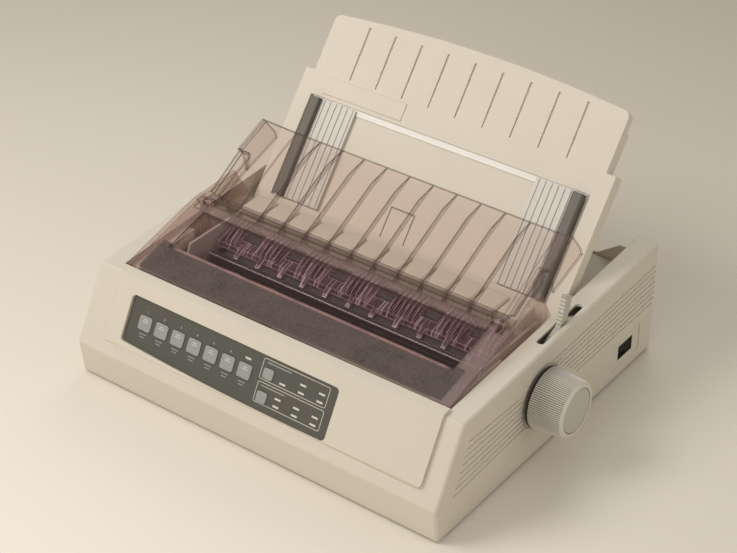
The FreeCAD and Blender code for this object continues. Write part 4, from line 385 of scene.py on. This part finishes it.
def smoked_cover_finish():
    """Smoked cover: clear round the window, frosted and dark along its front."""
    material, build, output, where = new_material("Smoked cover")
    place = build.add("VectorMath", {0: where, 1: tuple(-COVER_PLANE.translation)}, operation="ADD")
    level = build.add("VectorRotate", {"Vector": place.outputs[0], "Angle": -math.radians(COVER_ANGLE)},
                      rotation_type="X_AXIS")
    local = build.add("SeparateXYZ", {"Vector": level.outputs[0]}).outputs
    x, v = local["X"], local["Y"]
    marks = use_group(build, bpy.data.node_groups["Wipe marks"], {"Vector": where, "Amount": 0.5})
    speckle = build.add("TexNoise", {"Vector": where, "Scale": 620.0, "Detail": 5.0, "Roughness": 0.85})
    stain = build.add("TexNoise", {"Vector": where, "Scale": 60.0, "Detail": 6.0, "Roughness": 0.7})
    mask = rim_mask(build, 1.1 * MM)
    mask = build.math("MULTIPLY", mask, build.ramp(v, RIM_FADE[0] * MM, RIM_FADE[1] * MM))
    window = rounded_field(build, x, v, WINDOW_MIDDLE, WINDOW_HALF, WINDOW_CORNER)
    outside = build.math("SUBTRACT", 1.0, window)
    rows = build.band(v, FROST_ROWS[0] * MM, FROST_ROWS[1] * MM, 0.3 * MM)
    frost = build.math("MULTIPLY", rows, outside)
    frost = build.math("MULTIPLY", frost, build.band(x, -FROST_REACH * MM, FROST_REACH * MM, 0.8 * MM))
    cloud = build.ramp(stain.outputs["Fac"], 0.35, 0.6)
    # Painted rose highlight along the window's front lip, patchy with the stain noise
    lip_highlight = build.math("MULTIPLY", build.band(v, LIP_HIGHLIGHT_ROWS[0] * MM, LIP_HIGHLIGHT_ROWS[1] * MM, 0.4 * MM),
                     build.band(x, LIP_HIGHLIGHT_REACH[0] * MM, LIP_HIGHLIGHT_REACH[1] * MM, 6.0 * MM))
    lip_highlight = build.math("MULTIPLY", lip_highlight, build.math("ADD", 0.45, build.math("MULTIPLY", cloud, 0.55)))
    right = build.math("MULTIPLY", build.ramp(x, RIGHT_EDGE[0] * MM, RIGHT_EDGE[1] * MM), outside)
    right = build.math("MULTIPLY", right, build.ramp(v, RIGHT_FADE[0] * MM, RIGHT_FADE[1] * MM))
    frosted = build.mix(build.ramp(speckle.outputs["Fac"], 0.36, 0.64), (0.018, 0.012, 0.010, 1),
                        (0.122, 0.084, 0.070, 1))
    frosted = build.mix(build.math("MULTIPLY", cloud, 0.35), frosted, (0.145, 0.108, 0.090, 1))
    clear_body = build.mix(marks["Specks"], (0.38, 0.265, 0.25, 1), (0.6, 0.52, 0.48, 1))
    clear_body = build.mix(right, clear_body, (0.27, 0.195, 0.19, 1))
    shade = build.mix(frost, clear_body, frosted)
    shade = build.mix(lip_highlight, shade, (0.34, 0.19, 0.18, 1))
    shade = build.mix(mask, shade, (0.040, 0.020, 0.016, 1))
    roughness = build.math("ADD", marks["Roughness"], 0.06, clamp=True)
    roughness = build.math("MAXIMUM", roughness, build.math("MULTIPLY", frost, 0.55))
    bump = build.add("Bump", {"Height": build.math("MULTIPLY", speckle.outputs["Fac"], frost),
                              "Distance": 0.0003, "Strength": 0.35})
    surface = build.add("BsdfPrincipled", {"Base Color": shade, "Roughness": roughness,
                                           "Normal": bump.outputs["Normal"]})
    tint = build.mix(window, (0.975, 0.93, 0.905, 1), (0.965, 0.90, 0.91, 1))
    clear = build.add("BsdfTransparent", {"Color": lit_tint(build, tint)})
    edge = build.add("LayerWeight", {"Blend": 0.3})
    share = build.math("ADD", 0.02, build.math("MULTIPLY", edge.outputs["Facing"], 0.10))
    share = build.math("ADD", share, build.math("MULTIPLY", outside, 0.17))
    share = build.math("ADD", share, build.math("MULTIPLY", right, 0.45))
    share = build.math("MAXIMUM", share, build.math("MULTIPLY", frost, 0.90))
    share = build.math("MAXIMUM", share, build.math("MULTIPLY", lip_highlight, 0.80))
    share = build.math("MAXIMUM", share, build.math("MULTIPLY", mask, 0.80), clamp=True)
    mix_clear(build, output, share, clear, surface)
    return material


def comb_finish():
    """Dark violet plastic of the comb, with bright glints along its fins."""
    material, build, output, where = new_material("Comb plastic")
    stretch = build.add("Mapping", {"Vector": where, "Scale": (560, 14, 14)})
    glints = build.add("TexNoise", {"Vector": stretch.outputs["Vector"], "Scale": 1.0, "Detail": 2.0})
    bright = build.ramp(glints.outputs["Fac"], 0.53, 0.62)
    # Painted highlights: bright glints along the fins and a light tone on their edges
    mask = rim_mask(build, 0.5 * MM)
    shade = build.mix(build.math("MULTIPLY", bright, 0.55), (0.075, 0.035, 0.048, 1),
                      (0.92, 0.80, 0.80, 1))
    shade = build.mix(mask, shade, (0.80, 0.66, 0.67, 1))
    surface = build.add("BsdfPrincipled", {"Base Color": shade, "Roughness": 0.18})
    clear = build.add("BsdfTransparent", {"Color": (0.80, 0.68, 0.72, 1)})
    share = build.math("MAXIMUM", 0.62, build.math("MULTIPLY", mask, 0.85))
    mix_clear(build, output, share, clear, surface)
    return material


def brushed(name, base, rough=0.3):
    """Turned or rolled metal with faint lines along X."""
    material, build, output, where = new_material(name)
    stretch = build.add("Mapping", {"Vector": where, "Scale": (25, 1500, 1500)})
    lines = build.add("TexNoise", {"Vector": stretch.outputs["Vector"], "Scale": 1.0, "Detail": 3.0})
    haze = build.add("TexNoise", {"Vector": where, "Scale": 35.0, "Detail": 3.0})
    tone = build.mix(build.ramp(lines.outputs["Fac"], 0.3, 0.7), colour(toned(base, 0.8)), colour(base))
    uneven = build.math("MULTIPLY", haze.outputs["Fac"], 0.2)
    roughness = build.math("ADD", uneven, rough - 0.1, clamp=True)
    soft = build.add("Bevel", {"Radius": 0.3 * MM}, samples=6)
    bump = build.add("Bump", {"Height": lines.outputs["Fac"], "Distance": 0.0001, "Strength": 0.2,
                              "Normal": soft.outputs["Normal"]})
    surface = build.add("BsdfPrincipled", {"Base Color": tone, "Metallic": 1.0, "Roughness": roughness,
                                           "Normal": bump.outputs["Normal"]})
    build.feed(output.inputs["Surface"], surface.outputs[0])
    return material


def dress(names, material):
    """Give CAD nodes this material on all their slots."""
    for name in names:
        data = nodes[name].data
        data.materials.clear()
        data.materials.append(material)


# Modelling with Blender's own tools

def deselect():
    if bpy.context.mode != "OBJECT":
        bpy.ops.object.mode_set(mode="OBJECT")
    bpy.ops.object.select_all(action="DESELECT")


def settle(piece, plane, body, material):
    """Put a piece's place into its mesh and let it ride on a body."""
    piece.data.transform(plane @ piece.matrix_world)
    piece.matrix_world = Matrix.Identity(4)
    piece.data.materials.clear()
    piece.data.materials.append(material)
    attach(piece, body)
    return piece


def join(name, parts):
    """Make one piece of several, under this name."""
    deselect()
    for part in parts:
        part.select_set(True)
    bpy.context.view_layer.objects.active = parts[0]
    bpy.ops.object.transform_apply(location=True, rotation=True, scale=True)
    if len(parts) > 1:
        bpy.ops.object.join()
    piece = bpy.context.view_layer.objects.active
    piece.name = name
    piece.data.name = name
    return piece


def flat_shape(x, y, width, height, rise):
    """Start a flat rectangle, in edit mode and all selected."""
    deselect()
    bpy.ops.mesh.primitive_plane_add(size=1, location=Vector((x, y, rise)) * MM)
    shape = bpy.context.object
    shape.scale = (width * MM, height * MM, 1)
    bpy.ops.object.transform_apply(location=False, rotation=False, scale=True)
    bpy.ops.object.mode_set(mode="EDIT")
    bpy.ops.mesh.select_all(action="SELECT")
    return shape


def thicken(rise):
    """Give the flat shape its thickness, down into the panel, and leave edit mode."""
    bpy.ops.mesh.extrude_region_move(TRANSFORM_OT_translate={"value": (0, 0, -(rise + INK_SUNK) * MM)})
    bpy.ops.mesh.select_all(action="SELECT")
    bpy.ops.mesh.normals_make_consistent(inside=False)
    bpy.ops.object.mode_set(mode="OBJECT")


def printed_bar(x, y, width, height, rise=INK_RISE):
    """Printed bar: a thin plate with rounded corners."""
    bar = flat_shape(x, y, width, height, rise)
    corner = min(width, height) * 0.25 * MM
    bpy.ops.mesh.bevel(offset=corner, segments=2, affect="VERTICES")
    thicken(rise)
    return bar


def printed_frame(x0, x1, y0, y1, line=0.5, corner=2.0, rise=INK_RISE):
    """Printed outline with rounded corners."""
    ring = flat_shape((x0 + x1) / 2, (y0 + y1) / 2, x1 - x0, y1 - y0, rise)
    bpy.ops.mesh.bevel(offset=corner * MM, segments=4, affect="VERTICES")
    bpy.ops.mesh.inset(thickness=line * MM)
    bpy.ops.mesh.delete(type="FACE")
    bpy.ops.mesh.select_all(action="SELECT")
    thicken(rise)
    return ring


def numeral(text, x, y, size, rise=INK_RISE):
    """Printed number, as a thin solid."""
    deselect()
    bpy.ops.object.text_add(location=Vector((x, y, rise)) * MM)
    label = bpy.context.object
    label.data.body = text
    label.data.size = size * MM
    label.data.align_x = "CENTER"
    label.data.align_y = "CENTER"
    label.data.extrude = 0.06 * MM
    label.data.resolution_u = 3
    bpy.ops.object.convert(target="MESH")
    return bpy.context.object


class PrinterColours(bpy.types.PropertyGroup):
    """Colours of the printer's plastics."""

    case: bpy.props.FloatVectorProperty(name="Case", description="Colour of the case's plastic",
                                        subtype="COLOR", size=3, default=(0.655, 0.60, 0.505))
    guide: bpy.props.FloatVectorProperty(name="Sheet guide", description="Colour of the sheet guide",
                                         subtype="COLOR", size=3, default=(0.70, 0.635, 0.54))
    knob: bpy.props.FloatVectorProperty(name="Knob", description="Colour of the platen knob and lever",
                                        subtype="COLOR", size=3, default=(0.530, 0.500, 0.435))
    panel: bpy.props.FloatVectorProperty(name="Key panel", description="Colour of the key panel",
                                         subtype="COLOR", size=3, default=(0.088, 0.085, 0.070))
    keys: bpy.props.FloatVectorProperty(name="Keys", description="Colour of the keys",
                                        subtype="COLOR", size=3, default=(0.31, 0.315, 0.295))


class PrinterStage(bpy.types.PropertyGroup):
    """Camera and lamps."""

    focal: bpy.props.FloatProperty(name="Focal length", description="Camera lens in millimetres",
                                   default=92.57)
    lamp: bpy.props.FloatProperty(name="Main lamp", default=17.0,
                                  description="Strength of the large lamp on the left")
    fill: bpy.props.FloatProperty(name="Fill", description="Strength of the light all round",
                                  default=0.50)


class PRINTER_OT_finishes(bpy.types.Operator):
    """Dress the CAD nodes in their plastics and metals"""
    bl_idname = "printer.finishes"
    bl_label = "Finishes"

    def execute(self, context):
        tones = context.scene.printer_colours
        moulded_grain_group()
        wipe_marks_group()
        case = plastic("Housing plastic", tones.case, rough=0.52, grain=0.0005, height=0.25, edge=0.8)
        dress(["upper_case", "front_panel"], case)
        dress(["lower_case"], plastic("Base plastic", toned(tones.case, 0.96), rough=0.55))
        dress(["paper_chute"], plastic("Inner plastic", toned(tones.case, 0.92), rough=0.5, edge=0.8))
        # Darker copy of the case colour: painted shade in the well behind the sheet guide
        dress(["rear_deck"], plastic("Deck plastic", toned(tones.case, 0.80), rough=0.6, edge=0.8))
        dress(["sheet_guide"], plastic("Guide plastic", tones.guide, rough=0.55, height=0.15, edge=0.8))
        # Shaded and lit copies of the knob colour: painted shade in the flute valleys, painted
        # highlights on the ridges
        dress(["platen_knob"], knurl_finish(toned(tones.knob, 0.28), toned(tones.knob, 1.20)))
        # Dark edge tone on the cap: painted shade in the gap between cap and knob
        dress(["knob_cap"], plastic("Cap plastic", toned(tones.knob, 0.92), rough=0.4, edge=0.15,
                                    edge_shade_tone=(0.10, 0.085, 0.065), edge_width=0.6))
        dress(["release_lever"], plastic("Lever plastic", toned(tones.knob, 0.95), rough=0.45, edge=0.2))
        dress(["key_panel"], plastic("Panel print", tones.panel, rough=0.42, height=0.1, edge=0.2))
        keys = plastic("Key plastic", tones.keys, rough=0.45, height=0.2, edge=0.3)
        dress(["key_%d" % (i + 1) for i in range(KEY_COUNT)], keys)
        dress(["status_lamps"], plastic("Lamp lens", (0.62, 0.63, 0.52), rough=0.25, edge=0.1))
        dress(["front_cover"], smoked_cover_finish())
        dress(["rear_cover"], see_through("Clear cover", (0.962, 0.934, 0.924), (0.50, 0.38, 0.34),
                                           0.02, (0.050, 0.026, 0.020), 0.95))
        dress(["hinge_brackets"], see_through("Bracket plastic", (0.93, 0.86, 0.84), (0.42, 0.28, 0.25),
                                              0.25, (0.060, 0.034, 0.026), 0.5))
        dress(["paper_comb"], comb_finish())
        dress(["left_paper_guide", "right_paper_guide"],
              plastic("White guide plastic", (0.61, 0.575, 0.52), rough=0.35, height=0.1, edge=0.25))
        dress(["left_guide_grip", "right_guide_grip"],
              plastic("Grip plastic", (0.115, 0.10, 0.08), rough=0.45, edge=0.5))
        dress(["guide_rail_bar"], plastic("Rail plastic", (0.74, 0.71, 0.65), rough=0.3, edge=0.3))
        dress(["platen_roller", "pressure_rollers", "rubber_feet", "drive_belt"],
              plastic("Rubber", (0.022, 0.020, 0.020), rough=0.6, edge=0.4, dust=0.05))
        dress(["bail_rod"],
              plastic("Black lacquer", (0.012, 0.010, 0.010), rough=0.12, height=0.0, edge=0.2))
        dress(["platen_shaft", "pressure_shaft", "guide_shaft", "case_screws"],
              brushed("Ground steel", (0.62, 0.61, 0.60), 0.25))
        dress(["front_rail"], brushed("Plated sheet", (0.50, 0.49, 0.47), 0.38))
        dress(["left_side_frame", "right_side_frame"],
              plastic("Frame paint", (0.44, 0.40, 0.345), rough=0.45, height=0.1, edge=0.4))
        dress(["platen_gear", "idler_gear", "feed_pinion"],
              plastic("Gear nylon", (0.68, 0.66, 0.58), rough=0.4, edge=0.15))
        dress(["carriage", "ribbon_cartridge", "bail_arms", "drive_pulley", "idler_pulley",
               "platen_bushes"],
              plastic("Dark nylon", (0.035, 0.032, 0.034), rough=0.4, edge=0.5, dust=0.08))
        dress(["feed_motor", "space_motor", "print_head"],
              plastic("Black motor paint", (0.03, 0.03, 0.032), rough=0.4, edge=0.4, metal=0.3))
        dress(["switch_housing", "power_rocker", "mains_inlet", "interface_port"],
              plastic("Switch plastic", (0.014, 0.012, 0.010), rough=0.5, edge=0.4, gloss=0.2))
        dress(["main_board", "key_board"],
              plastic("Circuit board", (0.03, 0.14, 0.06), rough=0.35, edge=0.1))
        dress(["transformer"], brushed("Iron core", (0.30, 0.28, 0.26), 0.5))
        return {"FINISHED"}


class PRINTER_OT_panel_print(bpy.types.Operator):
    """Print the bars, outlines and numbers on the key panel"""
    bl_idname = "printer.panel_print"
    bl_label = "Panel print"

    def execute(self, context):
        ink = plastic("Pale ink", (0.62, 0.62, 0.54), rough=0.5, height=0.0, edge=0.05)
        faint = plastic("Faint ink", (0.30, 0.30, 0.265), rough=0.5, height=0.0, edge=0.05)
        parts = [printed_frame(*edges) for edges in LAMP_FRAMES]
        labels = [printed_bar(*bar) for bar in LAMP_LABELS]
        for i, (x, y) in enumerate(KEY_PLACES):
            parts.append(numeral(str(i + 1), x, y + NUMBER_STEP, NUMBER_SIZE))
            for row, share in ((10.0, 0.55), (12.6, 0.4)):
                labels.append(printed_bar(x, y - row, KEY_WIDTH * share, 0.9))
        parts.append(printed_bar(*LONE_LAMP))
        for name, pieces, print_ink in (("panel_print", parts, ink), ("panel_labels", labels, faint)):
            settle(join(name, pieces), PANEL_PLANE, "case", print_ink)
        return {"FINISHED"}


class PRINTER_OT_key_print(bpy.types.Operator):
    """Print plain marks on the keys"""
    bl_idname = "printer.key_print"
    bl_label = "Key print"

    def execute(self, context):
        ink = plastic("Key ink", (0.55, 0.56, 0.52), rough=0.5, height=0.0, edge=0.05)
        for i, (x, y) in enumerate(KEY_PLACES):
            bars = [printed_bar(x, y + row, KEY_WIDTH * share, 0.8, KEY_STAND_OUT + 0.06)
                    for row, share in ((3.6, 0.30), (1.6, 0.46))]
            piece = join("key_mark_%d" % (i + 1), bars)
            settle(piece, PANEL_PLANE, "key_%d" % (i + 1), ink)
        return {"FINISHED"}


class PRINTER_OT_chute_humps(bpy.types.Operator):
    """Model the full rounded humps over the paper chute"""
    bl_idname = "printer.chute_humps"
    bl_label = "Chute humps"

    def execute(self, context):
        humps = []
        for i in range(HUMP_COUNT):
            deselect()
            bpy.ops.mesh.primitive_cube_add(size=1)
            hump = bpy.context.object
            hump.scale = Vector(HUMP_SIZE) * MM
            bpy.ops.object.transform_apply(location=False, rotation=False, scale=True)
            bpy.ops.object.mode_set(mode="EDIT")
            bpy.ops.mesh.select_all(action="SELECT")
            bpy.ops.mesh.bevel(offset=HUMP_ROUND * MM, segments=5)
            bpy.ops.object.mode_set(mode="OBJECT")
            hump.location = at((i - (HUMP_COUNT - 1) / 2) * HUMP_PITCH, *HUMP_MIDDLE)
            bpy.ops.object.shade_smooth()
            humps.append(hump)
        piece = join("chute_humps", humps)
        settle(piece, Matrix.Identity(4), "case", bpy.data.materials["Inner plastic"])
        return {"FINISHED"}


class PRINTER_OT_knob_shade_disc(bpy.types.Operator):
    """Model a dark disc between the knob and the case, painted shade in the gap there"""
    bl_idname = "printer.knob_collar"
    bl_label = "Knob shade disc"

    def execute(self, context):
        low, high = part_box("platen_knob")
        deselect()
        radius = (high[1] - low[1]) / 2 - SHADE_DISC_STEP * MM
        bpy.ops.mesh.primitive_cylinder_add(vertices=96, radius=radius, depth=SHADE_DISC_WIDTH * MM,
                                            rotation=(0, math.pi / 2, 0))
        shade_disc = bpy.context.object
        shade_disc.location = (low[0] - SHADE_DISC_WIDTH / 2 * MM, (low[1] + high[1]) / 2,
                           (low[2] + high[2]) / 2)
        # Near-black plastic standing in for the shadow in the gap behind the knob
        dark = plastic("Shade disc plastic", (0.022, 0.018, 0.014), rough=0.6, edge=0.2, gloss=0.2)
        settle(join("knob_shade_disc", [shade_disc]), Matrix.Identity(4), "platen", dark)
        return {"FINISHED"}


class PRINTER_OT_stage(bpy.types.Operator):
    """Set the floor, the lamps and the camera"""
    bl_idname = "printer.stage"
    bl_label = "Stage"

    def execute(self, context):
        stage = context.scene.printer_stage
        self.floor()
        self.lamps(stage)
        self.camera(context, stage)
        return {"FINISHED"}

    def floor(self):
        deselect()
        bpy.ops.mesh.primitive_plane_add(size=12, location=(0, 0, 0))
        sheet = bpy.context.object
        sheet.name = "studio_floor"
        bpy.ops.object.mode_set(mode="EDIT")
        bpy.ops.mesh.subdivide(number_cuts=12)
        bpy.ops.object.mode_set(mode="OBJECT")
        material, build, output, where = new_material("Paper floor")
        # Painted pool of light: the floor's colour darkens away from its bright middle
        centre = build.add("VectorMath", {0: where, 1: FLOOR_LIGHT_POOL_MIDDLE}, operation="DISTANCE")
        far = build.ramp(centre.outputs["Value"], *FLOOR_LIGHT_POOL_FADE)
        fibres = build.add("TexNoise", {"Vector": where, "Scale": 3.0, "Detail": 3.0})
        tone = build.mix(far, FLOOR_LIT_TONE, FLOOR_SHADED_TONE)
        tone = build.mix(build.math("MULTIPLY", fibres.outputs["Fac"], 0.06), tone, (0.7, 0.62, 0.5, 1))
        surface = build.add("BsdfPrincipled", {"Base Color": tone, "Roughness": 0.9,
                                               "Specular IOR Level": 0.1})
        build.feed(output.inputs["Surface"], surface.outputs[0])
        sheet.data.materials.append(material)

    def lamps(self, stage):
        world = bpy.data.worlds.new("Studio")
        bpy.context.scene.world = world
        world.use_nodes = True
        build = Shader(world.node_tree)
        back = world.node_tree.nodes["Background"]
        where = build.add("TexCoord").outputs["Generated"]
        height = build.add("SeparateXYZ", {"Vector": where}).outputs["Z"]
        sky = build.mix(build.ramp(height, -0.1, 0.8), (0.62, 0.56, 0.47, 1), (1.0, 0.97, 0.92, 1))
        build.feed(back.inputs["Color"], sky)
        back.inputs["Strength"].default_value = stage.fill
        for name, place, size, share, tint in LAMPS:
            data = bpy.data.lights.new(name, "AREA")
            data.shape = "DISK"
            data.size = size
            data.energy = stage.lamp * share
            data.color = tint
            lamp = bpy.data.objects.new(name, data)
            bpy.context.collection.objects.link(lamp)
            lamp.location = at(*place)
            aim = at(*LAMP_AIM) - lamp.location
            lamp.rotation_euler = aim.to_track_quat("-Z", "Y").to_euler()

    def camera(self, context, stage):
        """Camera at the place and aim that the picture's perspective gives."""
        data = bpy.data.cameras.new("camera")
        camera = bpy.data.objects.new("camera", data)
        bpy.context.collection.objects.link(camera)
        ahead = Vector(CAMERA_AHEAD).normalized()
        right = Vector(CAMERA_RIGHT)
        right = (right - ahead * right.dot(ahead)).normalized()
        upward = right.cross(ahead)
        camera.matrix_world = (Matrix.Translation(at(*CAMERA_PLACE))
                               @ Matrix((right, upward, -ahead)).transposed().to_4x4())
        data.lens = stage.focal
        data.sensor_width = 36.0
        data.clip_end = 30.0
        data.shift_x = (CROP_WIDTH / 2 - AIM_ACROSS) / CROP_WIDTH
        data.shift_y = (AIM_DOWN - CROP_HEIGHT / 2) / CROP_WIDTH
        context.scene.camera = camera
        context.scene.view_settings.view_transform = "Standard"


class PRINTER_PT_panel(bpy.types.Panel):
    """Lists the printer's operators"""
    bl_label = "Printer"
    bl_idname = "PRINTER_PT_panel"
    bl_space_type = "VIEW_3D"
    bl_region_type = "UI"
    bl_category = "Printer"

    def draw(self, context):
        for operator in OPERATORS:
            self.layout.operator(operator.bl_idname)
        for name in PrinterColours.__annotations__:
            self.layout.prop(context.scene.printer_colours, name)
        for name in PrinterStage.__annotations__:
            self.layout.prop(context.scene.printer_stage, name)


OPERATORS = (PRINTER_OT_stage, PRINTER_OT_finishes, PRINTER_OT_panel_print, PRINTER_OT_key_print,
             PRINTER_OT_chute_humps, PRINTER_OT_knob_shade_disc)
CLASSES = (PrinterColours, PrinterStage) + OPERATORS + (PRINTER_PT_panel,)


def register():
    for item in CLASSES:
        bpy.utils.register_class(item)
    bpy.types.Scene.printer_colours = bpy.props.PointerProperty(type=PrinterColours)
    bpy.types.Scene.printer_stage = bpy.props.PointerProperty(type=PrinterStage)


def unregister():
    del bpy.types.Scene.printer_colours
    del bpy.types.Scene.printer_stage
    for item in reversed(CLASSES):
        bpy.utils.unregister_class(item)


def main():
    register()
    for operator in OPERATORS:
        group, name = operator.bl_idname.split(".")
        getattr(getattr(bpy.ops, group), name)()


if __name__ == "__main__":
    main()
